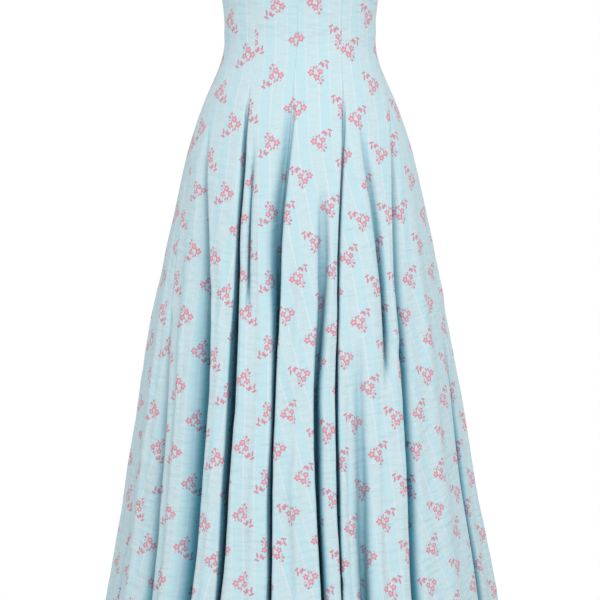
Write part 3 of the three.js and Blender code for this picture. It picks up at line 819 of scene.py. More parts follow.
    def strip(self, point: np.ndarray, inward: np.ndarray, profile: tuple, uv: np.ndarray) -> tuple:
        """Makes the cloth that is turned in along the first column.

        Args:
            point: Points of the gore.
            inward: Unit vectors into the gown.
            profile: Distance from the edge and inset of each new column.
            uv: Flat places of the points.

        Returns:
            The new columns' points, inward vectors and flat places, from the edge on.
        """
        arc = self.crossways(point)
        reach = [distance for distance, _ in profile]
        data = np.concatenate([point, inward, uv], axis=2)
        made = np.array([
            [np.interp(reach, arc[r], data[r, :, k]) for k in range(data.shape[2])]
            for r in range(len(arc))
        ]).transpose(0, 2, 1)
        inset = np.array([depth for _, depth in profile])[None, :, None]
        flat = 2 * uv[:, :1] - made[..., 6:8]
        return made[..., :3] + made[..., 3:6] * inset, made[..., 3:6], flat

    def with_turned_edges(self, grid: Grid) -> Grid:
        """Turns in the seam allowances, then the hem and the neck edge."""
        for flip, profile in ((False, self.turned), (True, self.turned)):
            grid = self.turned_in(grid, profile, flip, 1)
        for flip, profile in ((False, self.turned), (True, self.hem)):
            grid = self.turned_in(grid, profile, flip, 0)
        return grid

    def turned_in(self, grid: Grid, profile: tuple, flip: bool, axis: int) -> Grid:
        """Turns in one edge of a gore.

        Args:
            grid: The gore.
            profile: Distance from the edge and inset of each new line of points.
            flip: True for the last line of points, False for the first.
            axis: 1 for an upright edge, 0 for a level one.

        Returns:
            The gore with the turned edge.
        """
        def ordered(values: np.ndarray) -> np.ndarray:
            """Returns values with the edge as the first column."""
            turned = values if axis == 1 else np.swapaxes(values, 0, 1)
            return turned[:, ::-1] if flip else turned

        def restored(values: np.ndarray) -> np.ndarray:
            """Returns values in the grid's own order again."""
            turned = values[:, ::-1] if flip else values
            return turned if axis == 1 else np.swapaxes(turned, 0, 1)

        point, inward, uv = ordered(grid.point), ordered(grid.inward), ordered(grid.uv)
        shade = ordered(grid.shade)
        new_point, new_inward, new_uv = self.strip(point, inward, profile, uv)
        new_shade = np.repeat(shade[:, :1], len(profile), axis=1)
        pairs = ((new_point, point), (new_inward, inward), (new_uv, uv), (new_shade, shade))
        return Grid(*[restored(np.concatenate([new[:, ::-1], old], axis=1)) for new, old in pairs])

    def grid(self, gore: Gore) -> Grid:
        """Works out the whole finished gore."""
        point, azimuth, sunk, shade = self.base(gore)
        uv = self.flatten(gore, point, azimuth)
        point = self.worn(point, azimuth, sunk)
        sideways = np.gradient(point, axis=1)
        sideways /= np.maximum(np.linalg.norm(sideways, axis=2, keepdims=True), 1e-9)
        point[:, 0] += sideways[:, 0] * self.seam_gap
        point[:, -1] -= sideways[:, -1] * self.seam_gap
        return self.with_turned_edges(Grid(point, -self.outward(point), uv, shade))

    def build(self, gore: Gore, grid: Grid, material: bpy.types.Material) -> None:
        """Makes one gore as a sheet that rides on the gown.

        Args:
            gore: The gore.
            grid: Its points.
            material: Its cloth.
        """
        rows, columns = grid.shade.shape
        bm = bmesh.new()
        bmesh.ops.create_grid(bm, x_segments=columns - 1, y_segments=rows - 1, size=1.0)
        mesh = mesh_from(bm, f"{gore.node}_cloth")
        flat = np.empty(len(mesh.vertices) * 3)
        mesh.vertices.foreach_get("co", flat)
        flat = flat.reshape(-1, 3)
        column = np.rint((flat[:, 0] + 1) / 2 * (columns - 1)).astype(int)
        row = rows - 1 - np.rint((flat[:, 1] + 1) / 2 * (rows - 1)).astype(int)
        mesh.vertices.foreach_set("co", (grid.point[row, column] * MM).ravel())
        corners = np.empty(len(mesh.loops), np.int32)
        mesh.loops.foreach_get("vertex_index", corners)
        layer = mesh.uv_layers.new(name="cloth")
        layer.data.foreach_set("uv", (grid.uv[row, column][corners] * MM).ravel())
        # Painted shade deep in the folds, kept in the point attribute fold that the cloth's colour
        # reads
        fold = mesh.attributes.new("fold", "FLOAT", "POINT")
        fold.data.foreach_set("value", grid.shade[row, column])
        mesh.update()
        piece = add_piece(mesh, material)
        thicken(piece, CLOTH, -1)
        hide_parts(gore.node)
        beside = GORES[GORES.index(gore) - 1].node
        span = np.ptp(grid.uv[..., 0]), np.ptp(grid.uv[..., 1])
        LOG.info("%s: %d by %d points, flat %.0f by %.0f mm", piece.name, rows, columns, *span)


def linear(red: int, green: int, blue: int) -> tuple[float, float, float, float]:
    """Returns a colour given as it looks on screen, as the shader needs it."""
    def channel(value: float) -> float:
        """Returns one channel as light."""
        share = value / 255
        return share / 12.92 if share <= 0.04045 else ((share + 0.055) / 1.055) ** 2.4

    return channel(red), channel(green), channel(blue), 1.0


class Nodes:
    """Short way to add and join the nodes of one tree."""

    def __init__(self, tree: bpy.types.NodeTree) -> None:
        """Keeps the tree."""
        self.tree = tree

    def add(self, kind: str, **settings: object) -> bpy.types.Node:
        """Adds a node of a kind and gives it settings."""
        node = self.tree.nodes.new(kind)
        for name, value in settings.items():
            setattr(node, name, value)
        return node

    def put(self, socket: bpy.types.NodeSocket, value: object) -> None:
        """Joins a socket to an output, or gives it a value."""
        if isinstance(value, bpy.types.NodeSocket):
            self.tree.links.new(value, socket)
        else:
            socket.default_value = value

    def math(self, operation: str, *values: object, clamp: bool = False) -> bpy.types.NodeSocket:
        """Returns the result of a sum on values or outputs."""
        node = self.add("ShaderNodeMath", operation=operation, use_clamp=clamp)
        for socket, value in zip(node.inputs, values):
            self.put(socket, value)
        return node.outputs[0]

    def vector(self, operation: str, *values: object) -> bpy.types.NodeSocket:
        """Returns the vector result of a sum on vectors."""
        node = self.add("ShaderNodeVectorMath", operation=operation)
        for socket, value in zip(node.inputs, values):
            self.put(socket, value)
        return node.outputs["Value" if operation in ("LENGTH", "DOT_PRODUCT") else "Vector"]

    def split(self, vector: object) -> list[bpy.types.NodeSocket]:
        """Returns the x, y and z of a vector."""
        node = self.add("ShaderNodeSeparateXYZ")
        self.put(node.inputs[0], vector)
        return list(node.outputs)

    def ramp(self, value: object, low: float, high: float, *ends: float) -> bpy.types.NodeSocket:
        """Returns a soft change from 0 to 1, or between two ends, as value goes from low to high."""
        node = self.add("ShaderNodeMapRange", interpolation_type="SMOOTHSTEP")
        labels = ("Value", "From Min", "From Max", "To Min", "To Max")
        for label, number in zip(labels, (value, low, high, *ends)):
            self.put(node.inputs[label], number)
        return node.outputs["Result"]

    def step(self, value: object, edge: object, soft: float) -> bpy.types.NodeSocket:
        """Returns 1 where value is under edge and 0 over it, with a soft change."""
        return self.ramp(self.math("SUBTRACT", value, edge), -soft, soft, 1.0, 0.0)

    def mix(
        self, share: object, first: object, second: object, blend: str = "MIX",
    ) -> bpy.types.NodeSocket:
        """Returns a colour between two colours."""
        node = self.add("ShaderNodeMix", data_type="RGBA", clamp_factor=True, blend_type=blend)
        self.put(node.inputs["Factor"], share)
        self.put(node.inputs[6], first)
        self.put(node.inputs[7], second)
        return node.outputs[2]

    def over(self, mask: object, share: float, under: object, tint: tuple) -> bpy.types.NodeSocket:
        """Returns a colour with a tint laid over it where the mask is 1, as strongly as share says."""
        return self.mix(self.math("MULTIPLY", mask, share), under, linear(*tint))

    def noise(self, vector: object, scale: float, detail: float) -> bpy.types.NodeSocket:
        """Returns a noise between 0 and 1 at a vector."""
        node = self.add("ShaderNodeTexNoise")
        self.put(node.inputs["Vector"], vector)
        self.put(node.inputs["Scale"], scale)
        self.put(node.inputs["Detail"], detail)
        return node.outputs["Fac"]

    def streaks(self, cloth: object, rate: tuple[float, float], detail: float) -> bpy.types.NodeSocket:
        """Returns a noise with its own rate across and down the cloth."""
        return self.noise(self.vector("MULTIPLY", cloth, (*rate, 0.0)), 1.0, detail)

    def most(self, values: list[bpy.types.NodeSocket]) -> bpy.types.NodeSocket:
        """Returns the largest of several outputs."""
        result = values[0]
        for value in values[1:]:
            result = self.math("MAXIMUM", result, value)
        return result

    def bump(self, height: object, strength: float, relief: float) -> bpy.types.NodeSocket:
        """Returns the normal of a relief, so many millimetres high where height is 1."""
        node = self.add("ShaderNodeBump")
        self.put(node.inputs["Strength"], strength)
        self.put(node.inputs["Distance"], relief * MM)
        self.put(node.inputs["Height"], height)
        return node.outputs[0]

    def group(self, tree: bpy.types.NodeTree, **values: object) -> bpy.types.Node:
        """Places a node group with its own values."""
        node = self.add("ShaderNodeGroup", node_tree=tree)
        for name, value in values.items():
            self.put(node.inputs[name], value)
        return node


def new_material(name: str) -> tuple[bpy.types.Material, Nodes, bpy.types.Node]:
    """Starts a material, and returns it with its Nodes and its Principled shader."""
    material = bpy.data.materials.new(name)
    material.use_nodes = True
    return material, Nodes(material.node_tree), material.node_tree.nodes["Principled BSDF"]


def new_group(name: str, inputs: dict[str, object], outputs: tuple[str, ...]) -> tuple:
    """Starts a shader node group.

    Args:
        name: Its name.
        inputs: Name and first value of each input, a vector where the value is a tuple.
        outputs: Names of its value outputs.

    Returns:
        The tree, its Nodes, its input node and its output node.
    """
    tree = bpy.data.node_groups.new(name, "ShaderNodeTree")
    for label, value in inputs.items():
        kind = "NodeSocketVector" if isinstance(value, tuple) else "NodeSocketFloat"
        socket = tree.interface.new_socket(name=label, in_out="INPUT", socket_type=kind)
        socket.default_value = value
    for label in outputs:
        tree.interface.new_socket(name=label, in_out="OUTPUT", socket_type="NodeSocketFloat")
    nodes = Nodes(tree)
    return tree, nodes, nodes.add("NodeGroupInput"), nodes.add("NodeGroupOutput")


@dataclass(frozen=True)
class SprigPattern:
    """Woven sprig of small blossoms, in half-drop columns that mirror one another."""

    column: float = 38.5
    drop: float = 110.0
    soft: float = 0.28
    petals: float = 5.0
    petal_wave: float = 0.17
    petal_reach: float = 0.82
    heart_reach: float = 0.42
    heart_soft: float = 1.6
    heart_from: float = 3.0
    blossoms: tuple[tuple[float, float, float], ...] = (
        (2.9, -8.8, 5.6),
        (11.9, -0.9, 6.0),
        (-3.1, 1.1, 5.3),
    )
    open_blossom: tuple[float, float, float] = (-5.8, 11.8, 5.5)
    bite: tuple[float, float, float] = (2.4, -2.8, 0.66)
    buds: tuple[tuple[float, float, float], ...] = (
        (-6.6, -12.6, 2.7),
        (-3.6, -18.0, 2.4),
        (6.8, 7.0, 2.3),
        (2.4, 8.6, 2.1),
        (-6.4, -7.0, 1.5),
        (0.6, -17.6, 1.3),
        (12.4, 7.6, 1.2),
    )
    strokes: tuple[tuple[float, float, float, float, float], ...] = (
        (-15.4, 6.6, -14.6, 12.6, 1.35),
        (-17.8, 16.4, -12.8, 18.4, 1.5),
        (-14.6, 12.6, -15.2, 17.2, 0.6),
        (-3.2, -16.0, 0.2, -12.2, 0.6),
        (-5.6, -11.2, -3.0, -9.4, 0.6),
        (-10.4, 11.2, -14.0, 9.6, 0.6),
        (6.0, -5.6, 8.0, -3.8, 1.1),
        (1.0, 3.2, 4.0, 6.2, 0.7),
        (-2.6, -3.4, -0.4, -5.0, 0.9),
        (8.6, 3.6, 7.2, 5.2, 0.8),
    )

    def blossom(self) -> bpy.types.NodeTree:
        """Makes the group that draws one five-petalled blossom."""
        inputs = {"Place": (0.0,) * 3, "Centre": (0.0,) * 3, "Radius": 4.0}
        tree, n, given, out = new_group("blossom", inputs, ("Shape", "Heart"))
        radius = given.outputs["Radius"]
        away = n.vector("SUBTRACT", given.outputs["Place"], given.outputs["Centre"])
        x, y, _ = n.split(away)
        wave = n.math("COSINE", n.math("MULTIPLY_ADD", n.math("ARCTAN2", y, x), self.petals, radius))
        share = n.math("MULTIPLY_ADD", wave, self.petal_wave, self.petal_reach)
        far = n.vector("LENGTH", away)
        n.put(out.inputs["Shape"], n.step(far, n.math("MULTIPLY", radius, share), self.soft))
        heart = n.math("MULTIPLY", radius, self.heart_reach)
        n.put(out.inputs["Heart"], n.step(far, heart, self.soft * self.heart_soft))
        return tree

    def stroke(self) -> bpy.types.NodeTree:
        """Makes the group that draws one stem or leaf as a short stroke."""
        inputs = {"Place": (0.0,) * 3, "Start": (0.0,) * 3, "End": (1.0, 0.0, 0.0), "Half": 1.0}
        tree, n, given, out = new_group("stroke", inputs, ("Shape",))
        from_start = n.vector("SUBTRACT", given.outputs["Place"], given.outputs["Start"])
        way = n.vector("SUBTRACT", given.outputs["End"], given.outputs["Start"])
        length = n.vector("DOT_PRODUCT", way, way)
        share = n.math("DIVIDE", n.vector("DOT_PRODUCT", from_start, way), length, clamp=True)
        scaled = n.add("ShaderNodeVectorMath", operation="SCALE")
        n.put(scaled.inputs[0], way)
        n.put(scaled.inputs["Scale"], share)
        far = n.vector("LENGTH", n.vector("SUBTRACT", from_start, scaled.outputs["Vector"]))
        n.put(out.inputs["Shape"], n.step(far, given.outputs["Half"], self.soft))
        return tree

    def build(self) -> bpy.types.NodeTree:
        """Makes the group that lays the sprigs over the cloth."""
        tree, n, given, out = new_group("sprigs", {"Cloth": (0.0,) * 3}, ("Shape", "Heart"))
        across, down, _ = n.split(given.outputs["Cloth"])
        count = n.math("ROUND", n.math("DIVIDE", across, self.column))
        odd = n.math("FLOORED_MODULO", count, 2.0)
        side = n.math("MULTIPLY_ADD", odd, -2.0, 1.0)
        beside = n.math("SUBTRACT", across, n.math("MULTIPLY", count, self.column))
        lowered = n.math("MULTIPLY_ADD", odd, self.drop / 2, down)
        wrapped = n.math("WRAP", lowered, self.drop / 2, -self.drop / 2)
        place = n.add("ShaderNodeCombineXYZ")
        n.put(place.inputs[0], n.math("MULTIPLY", beside, side))
        n.put(place.inputs[1], wrapped)
        spot = place.outputs[0]
        blossom, stroke = self.blossom(), self.stroke()
        shapes, hearts = [], []
        for x, y, radius in (*self.blossoms, *self.buds):
            node = n.group(blossom, Place=spot, Centre=(x, y, 0.0), Radius=radius)
            shapes.append(node.outputs["Shape"])
            if radius > self.heart_from:
                hearts.append(node.outputs["Heart"])
        x, y, radius = self.open_blossom
        right, up, size = self.bite
        node = n.group(blossom, Place=spot, Centre=(x, y, 0.0), Radius=radius)
        bite = n.group(blossom, Place=spot, Centre=(x + right, y + up, 0.0), Radius=radius * size)
        shapes.append(n.math("SUBTRACT", node.outputs["Shape"], bite.outputs["Shape"], clamp=True))
        for x0, y0, x1, y1, half in self.strokes:
            node = n.group(stroke, Place=spot, Start=(x0, y0, 0.0), End=(x1, y1, 0.0), Half=half)
            shapes.append(node.outputs["Shape"])
        n.put(out.inputs["Shape"], n.most(shapes))
        n.put(out.inputs["Heart"], n.most(hearts))
        return tree


@dataclass(frozen=True)
class LoomStripe:
    """Woven stripe: a strong and a faint white line, a slubbed pale band and a plain blue band."""

    period: float = 38.5
    faint_at: float = 20.0
    strong_half: float = 1.05
    faint_half: float = 0.7
    faint_share: float = 0.6
    soft: float = 0.5
    sway: float = 1.6
    sway_rate: tuple[float, float] = (0.02, 0.05)
    yarn_rate: float = 7.2
    yarn_wave: float = 0.25
    patch_rate: tuple[float, float] = (0.3, 0.02)
    patch_least: float = 0.5
    patch_gain: float = 0.9
    slub_rate: tuple[float, float] = (0.055, 0.95)
    slub_range: tuple[float, float] = (0.5, 0.68)
    slub_least: float = 0.25
    crinkle_rate: tuple[float, float] = (0.032, 0.1)
    crinkle_detail: float = 1.4
    calm_rate: tuple[float, float] = (0.017, 0.021)
    crinkle_least: float = 0.3
    crinkle_gain: float = 7.0
    thread: tuple[float, float] = (0.62, 0.7)
    weave_height: float = 0.035
    slub_height: float = 0.16
    line_height: float = 0.12

    def distance(self, n: Nodes, across: object, line: float) -> bpy.types.NodeSocket:
        """Returns the distance to the nearest repeat of a line of the stripe."""
        place = n.math("SUBTRACT", across, line)
        return n.math("ABSOLUTE", n.math("WRAP", place, self.period / 2, -self.period / 2))

    def build(self) -> bpy.types.NodeTree:
        """Makes the group that reads a place on the cloth in millimetres."""
        outputs = ("Pale", "Line", "Slub", "Height")
        tree, n, given, out = new_group("loom stripe", {"Cloth": (0.0,) * 3}, outputs)
        cloth = given.outputs["Cloth"]
        across, down, _ = n.split(cloth)
        wobble = n.streaks(cloth, self.sway_rate, 1.0)
        swayed = n.math("ADD", across, n.math("MULTIPLY_ADD", wobble, self.sway, -self.sway / 2))
        strong = self.distance(n, swayed, 0.0)
        faint = self.distance(n, swayed, self.faint_at)
        middle = self.distance(n, swayed, self.faint_at / 2)
        pale = n.step(middle, self.faint_at / 2, self.soft)
        twist = n.math("COSINE", n.math("MULTIPLY", across, self.yarn_rate))
        yarn = n.math("MULTIPLY_ADD", twist, self.yarn_wave, 1 - self.yarn_wave)
        strong_line = n.math("MULTIPLY", n.step(strong, self.strong_half, self.soft), yarn)
        faint_step = n.step(faint, self.faint_half, self.soft)
        lines = n.math("MAXIMUM", strong_line, n.math("MULTIPLY", faint_step, self.faint_share))
        patchy = n.streaks(cloth, self.patch_rate, 2.0)
        worn = n.math("MULTIPLY_ADD", patchy, self.patch_gain, self.patch_least)
        line = n.math("MULTIPLY", lines, worn, clamp=True)
        thick = n.ramp(n.streaks(cloth, self.slub_rate, 2.0), *self.slub_range)
        banded = n.math("MULTIPLY_ADD", pale, 1 - self.slub_least, self.slub_least)
        slub = n.math("MULTIPLY", thick, banded)
        calm = n.streaks(cloth, self.calm_rate, 1.0)
        crinkle = n.math("MULTIPLY", n.streaks(cloth, self.crinkle_rate, self.crinkle_detail),
                         n.math("MULTIPLY_ADD", calm, self.crinkle_gain, self.crinkle_least))
        warp, weft = (
            n.math("SINE", n.math("MULTIPLY", place, 2 * math.pi / pitch))
            for place, pitch in zip((across, down), self.thread)
        )
        weave = n.math("MULTIPLY", n.math("MULTIPLY", warp, weft), self.weave_height)
        raised = n.math("ADD", n.math("MULTIPLY", slub, self.slub_height),
                        n.math("MULTIPLY", line, self.line_height))
        n.put(out.inputs["Pale"], pale)
        n.put(out.inputs["Line"], line)
        n.put(out.inputs["Slub"], slub)
        n.put(out.inputs["Height"], n.math("ADD", n.math("ADD", raised, crinkle), weave))
        return tree


@dataclass(frozen=True)
class GownCotton:
    """Light cotton with the woven stripe and pink sprigs, and shade painted deep in its folds."""

    pale: tuple[int, int, int] = (196, 219, 225)
    blue: tuple[int, int, int] = (188, 218, 226)
    white: tuple[int, int, int] = (220, 224, 232)
    slub: tuple[int, int, int] = (184, 208, 216)
    petal: tuple[int, int, int] = (203, 104, 129)
    heart: tuple[int, int, int] = (233, 178, 186)
    # Painted shade: the teal that the cloth's colour is multiplied towards deep in the folds
    painted_fold_shade: tuple[int, int, int] = (108, 176, 194)
    slub_share: float = 0.45
    line_share: float = 0.95
    petal_share: float = 0.9
    heart_share: float = 0.85
    thread_rate: tuple[float, float] = (2.4, 0.5)
    thread_gain: float = 0.9
    thread_least: float = -0.2
    roughness: float = 0.86
    sprig_gloss: float = 0.16
    sprig_height: float = 0.22
    sheen: float = 0.12
    sheen_roughness: float = 0.5
    specular: float = 0.25
    bump: float = 0.8

    def build(self) -> bpy.types.Material:
        """Makes the material, which reads the gore's own flat layout and its painted fold shade."""
        material, n, shader = new_material("gown_cotton")
        layout = n.add("ShaderNodeUVMap", uv_map="cloth").outputs[0]
        cloth = n.vector("MULTIPLY", layout, (1 / MM, 1 / MM, 0.0))
        stripe = n.group(LoomStripe().build(), Cloth=cloth).outputs
        sprigs = n.group(SprigPattern().build(), Cloth=cloth).outputs
        colour = n.mix(stripe["Pale"], linear(*self.blue), linear(*self.pale))
        colour = n.over(stripe["Slub"], self.slub_share, colour, self.slub)
        colour = n.over(stripe["Line"], self.line_share, colour, self.white)
        thread = n.streaks(cloth, self.thread_rate, 1.0)
        thread = n.math("MULTIPLY_ADD", thread, self.thread_gain, self.thread_least)
        petal = n.mix(thread, linear(*self.petal), linear(*self.heart))
        petal = n.over(sprigs["Heart"], self.heart_share, petal, self.heart)
        colour = n.mix(n.math("MULTIPLY", sprigs["Shape"], self.petal_share), colour, petal)
        # Painted shade: the colour multiplied towards the dark teal where the fold attribute is high
        fold = n.add("ShaderNodeAttribute", attribute_name="fold").outputs["Fac"]
        n.put(shader.inputs["Base Color"], n.mix(fold, colour, linear(*self.painted_fold_shade), "MULTIPLY"))
        rough = n.math("MULTIPLY_ADD", sprigs["Shape"], -self.sprig_gloss, self.roughness)
        n.put(shader.inputs["Roughness"], rough)
        n.put(shader.inputs["Sheen Weight"], self.sheen)
        n.put(shader.inputs["Sheen Roughness"], self.sheen_roughness)
        n.put(shader.inputs["Specular IOR Level"], self.specular)
        height = n.math("MULTIPLY_ADD", sprigs["Shape"], self.sprig_height, stripe["Height"])
        n.put(shader.inputs["Normal"], n.bump(height, self.bump, 1.0))
        return material


@dataclass(frozen=True)
class WovenTape:
    """Plain close-woven tape of the zip."""

    colour: tuple[int, int, int] = (178, 214, 224)
    hollow_share: float = 0.86
    rib: float = 0.8
    roughness: float = 0.78
    fuzz: float = 0.15
    fuzz_scale: float = 900.0
    bump: float = 0.6
    relief: float = 0.15

    def build(self) -> bpy.types.Material:
        """Makes the material from the tape's place in the gown."""
        material, n, shader = new_material("zip_tape")
        place = n.add("ShaderNodeTexCoord").outputs["Object"]
        across, _, up = n.split(n.vector("MULTIPLY", place, (1 / MM,) * 3))
        rows, cords = (
            n.math("SINE", n.math("MULTIPLY", way, 2 * math.pi / self.rib)) for way in (up, across)
        )
        weave = n.math("MULTIPLY", rows, cords)
        # Painted shade: the weave's hollows darker than its threads
        dark = linear(*(round(value * self.hollow_share) for value in self.colour))
        shade = n.mix(n.math("MULTIPLY_ADD", weave, 0.5, 0.5), dark, linear(*self.colour))
        n.put(shader.inputs["Base Color"], shade)
        fuzz = n.noise(place, self.fuzz_scale, 2.0)
        n.put(shader.inputs["Roughness"], n.math("MULTIPLY_ADD", fuzz, self.fuzz, self.roughness))
        n.put(shader.inputs["Normal"], n.bump(weave, self.bump, self.relief))
        return material


@dataclass(frozen=True)
class LacqueredMetal:
    """Satin lacquer on a small casting, rubbed brighter in places."""

    colour: tuple[int, int, int] = (176, 206, 216)
    bare: tuple[int, int, int] = (205, 212, 214)
    rubbed_scale: float = 420.0
    rubbed_from: float = 0.52
    rubbed_gain: float = 5.0
    metallic: float = 0.3
    bare_metallic: float = 0.5
    roughness: float = 0.28
    roughness_gain: float = 0.2
    grain_scale: float = 2600.0
    bump: float = 0.25
    relief: float = 0.05

    def build(self) -> bpy.types.Material:
        """Makes the material from the fitting's place in the gown."""
        material, n, shader = new_material("zip_metal")
        place = n.add("ShaderNodeTexCoord").outputs["Object"]
        rubbed = n.noise(place, self.rubbed_scale, 3.0)
        over = n.math("SUBTRACT", rubbed, self.rubbed_from)
        share = n.math("MULTIPLY", over, self.rubbed_gain, clamp=True)
        metallic = n.math("MULTIPLY_ADD", share, self.bare_metallic, self.metallic)
        roughness = n.math("MULTIPLY_ADD", rubbed, self.roughness_gain, self.roughness)
        n.put(shader.inputs["Base Color"], n.mix(share, linear(*self.colour), linear(*self.bare)))
        n.put(shader.inputs["Metallic"], metallic)
        n.put(shader.inputs["Roughness"], roughness)
        grain = n.noise(place, self.grain_scale, 2.0)
        n.put(shader.inputs["Normal"], n.bump(grain, self.bump, self.relief))
        return material


@dataclass
class Zip:
    """Concealed zip in the centre back seam."""

    drape: Drape
    tape_half: float = 7.5
    tape: float = 0.5
    inset: float = 2.35
    split: float = 0.35
    top_drop: float = 4.0
    bottom: float = -149.0
    coil_pitch: float = 1.25
    coil_half: float = 1.5
    coil_depth: float = 0.62
    coil_inset: float = 0.75
    coil_shift: float = 0.35
    coil_ends: tuple[float, float] = (2.0, 6.0)
    wire: float = 0.34
    bevel: float = 0.16
    tape_rows: int = 90
    tape_lines: tuple[float, float] = (5.0, 2.4)
    tape_length: float = 0.305
    weld: float = 2e-6
    flat_degrees: float = 2.0
    edge_degrees: float = 35.0

    def top(self) -> float:
        """Returns the height of the tapes' upper ends."""
        return float(self.drape.figure.neck_edge(180.0)) - self.top_drop

    def back_line(self, z: np.ndarray, x: float, inset: float) -> np.ndarray:
        """Returns points that follow the inner side of the centre back.

        Args:
            z: Heights.
            x: Distance to the wearer's left of the seam.
            inset: How far inside the cloth's face they lie.

        Returns:
            One point for each height, in millimetres.
        """
        azimuth = np.degrees(np.arcsin(-x / self.drape.figure.half_width(z))) - 180
        way_x, way_y, _ = self.drape.figure.along(azimuth, z)
        px, py = self.drape.figure.point(azimuth, z)
        return np.stack([px - way_y * inset, py + way_x * inset, z], axis=1)

    def tapes(self, material: bpy.types.Material) -> bpy.types.Object:
        """Makes the two tapes that the coil joins."""
        z = np.linspace(self.top(), self.bottom, self.tape_rows)
        half = (self.tape_half, *self.tape_lines, self.split)
        across = [-x for x in half] + list(reversed(half))
        bm = bmesh.new()
        bmesh.ops.create_grid(bm, x_segments=len(across) - 1, y_segments=len(z) - 1, size=1.0)
        bm.verts.ensure_lookup_table()
        lines = [self.back_line(z, x, self.inset) for x in across]
        for vert in bm.verts:
            column = round((vert.co.x + 1) / 2 * (len(across) - 1))
            row = round((1 - vert.co.y) / 2 * (len(z) - 1))
            vert.co = Vector(lines[column][row] * MM)
        gap = [f for f in bm.faces if abs(f.calc_center_median().x) < self.split * MM / 2]
        bmesh.ops.delete(bm, geom=gap, context="FACES")
        bmesh.ops.recalc_face_normals(bm, faces=bm.faces)
        piece = add_piece(mesh_from(bm, "zip_tapes"), material)
        thicken(piece, self.tape, 0)
        return piece

    def coil(self, material: bpy.types.Material) -> None:
        """Makes the closed coil as a row of wire loops."""
        above, below = self.coil_ends
        top = self.top() - above
        count = int((top - self.bottom - below) / self.coil_pitch)
        z = top - np.arange(count) * self.coil_pitch
        line = self.back_line(z, 0.0, self.inset + self.tape + self.coil_inset)
        bm = bmesh.new()
        for step, centre in enumerate(line):
            side = 1 if step % 2 else -1
            shift = Vector((side * self.coil_shift * MM, 0, 0))
            place = Matrix.Translation(Vector(centre * MM) + shift)
            size = (self.coil_half * MM, self.coil_depth * MM, self.wire * MM, 1.0)
            matrix = place @ Matrix.Diagonal(size)
            bmesh.ops.create_uvsphere(bm, u_segments=10, v_segments=4, radius=1.0, matrix=matrix)
        add_piece(mesh_from(bm, "zip_coil"), material)

    def fitting(self, node: str, body: str, material: bpy.types.Material) -> None:
        """Makes a rounded copy of one of the zip's metal pieces.

        Args:
            node: The solid that it copies.
            body: The body that it rides on.
            material: Its finish.
        """
        bm = bmesh.new()
        bm.from_mesh(bpy.data.objects[node].data)
        bmesh.ops.remove_doubles(bm, verts=bm.verts, dist=self.weld)
        limit = math.radians(self.flat_degrees)
        flat = [e for e in bm.edges if e.is_manifold and e.calc_face_angle() < limit]
        bmesh.ops.dissolve_edges(bm, edges=flat, use_verts=True)
        mesh = mesh_from(bm, f"{node}_rounded")
        piece = add_piece(mesh, material, body)
        mesh.shade_flat()
        soft = piece.modifiers.new("soft edges", "BEVEL")
        soft.width = self.bevel * MM
        soft.segments = 2
        soft.limit_method = "ANGLE"
        soft.angle_limit = math.radians(self.edge_degrees)
        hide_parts(node)

    def build(self) -> None:
        """Makes the whole zip."""
        tape = WovenTape().build()
        metal = LacqueredMetal().build()
        tapes = self.tapes(tape)
        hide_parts("zip_tape")
        self.coil(tape)
        self.fitting("zip_slider", "gown", metal)
        self.fitting("zip_pull", "pull", metal)


@dataclass
class Stitching:
    """Row of machine stitches along the hem and the neck edge."""

    maker: ClothMaker
    pitch: float = 4.2
    length: float = 2.9
    half: float = 0.22
    proud: float = 0.12
    hem_at: float = 15.0
    neck_at: float = 6.0
    least: float = 1e-6

    def row(self, grid: Grid, from_edge: float, hem: bool) -> tuple[np.ndarray, np.ndarray]:
        """Finds the line along which one gore's stitches run.

        Args:
            grid: The gore with its turned edges.
            from_edge: Distance of the line from the edge.
            hem: True for the hem, False for the neck edge.

        Returns:
            The line's points and the vectors out of the cloth beside them.
        """
        turned = len(self.maker.turned)
        kept = slice(-len(self.maker.hem) - 1, None, -1) if hem else slice(turned, None)
        point = grid.point[kept, turned:-turned]
        out = -grid.inward[kept, turned:-turned]
        down = self.maker.downways(point)
        line = np.array([
            [np.interp(from_edge, down[:, c], point[:, c, k]) for k in range(3)]
            for c in range(point.shape[1])
        ])
        return line, out[1]

    def stitches(self, line: np.ndarray, out: np.ndarray) -> list[Matrix]:
        """Spaces stitches along a line.

        Args:
            line: Its points.
            out: Vectors out of the cloth beside them.

        Returns:
            What turns, sizes and moves a unit ball into each stitch.
        """
        steps = np.linalg.norm(np.diff(line, axis=0), axis=1)
        arc = np.concatenate([[0.0], np.cumsum(steps)])

        def at(values: np.ndarray, place: float) -> np.ndarray:
            """Returns values at a distance along the line."""
            return np.array([np.interp(place, arc, values[:, k]) for k in range(3)])

        count = max(1, int(arc[-1] / self.pitch))
        made = []
        for step in range(count):
            middle = (step + 0.5) * arc[-1] / count
            start = at(line, middle - self.length / 2)
            end = at(line, middle + self.length / 2)
            along = Vector(end - start)
            if along.length < self.least:
                continue
            normal = Vector(at(out, middle))
            x_axis = along.normalized()
            z_axis = (normal - x_axis * normal.dot(x_axis)).normalized()
            turn = Matrix((x_axis, z_axis.cross(x_axis), z_axis)).transposed().to_4x4()
            size = Matrix.Diagonal((along.length / 2 * MM, self.half * MM, self.half * MM, 1.0))
            place = Matrix.Translation((Vector((start + end) / 2) + z_axis * self.proud) * MM)
            made.append(place @ turn @ size)
        return made

    def build(self, grids: list[Grid], material: bpy.types.Material) -> None:
        """Makes all the stitches as one piece."""
        bm = bmesh.new()
        for from_edge, hem in ((self.hem_at, True), (self.neck_at, False)):
            for grid in grids:
                for matrix in self.stitches(*self.row(grid, from_edge, hem)):
                    bmesh.ops.create_icosphere(bm, subdivisions=1, radius=1.0, matrix=matrix)
        add_piece(mesh_from(bm, "edge_stitching"), material)


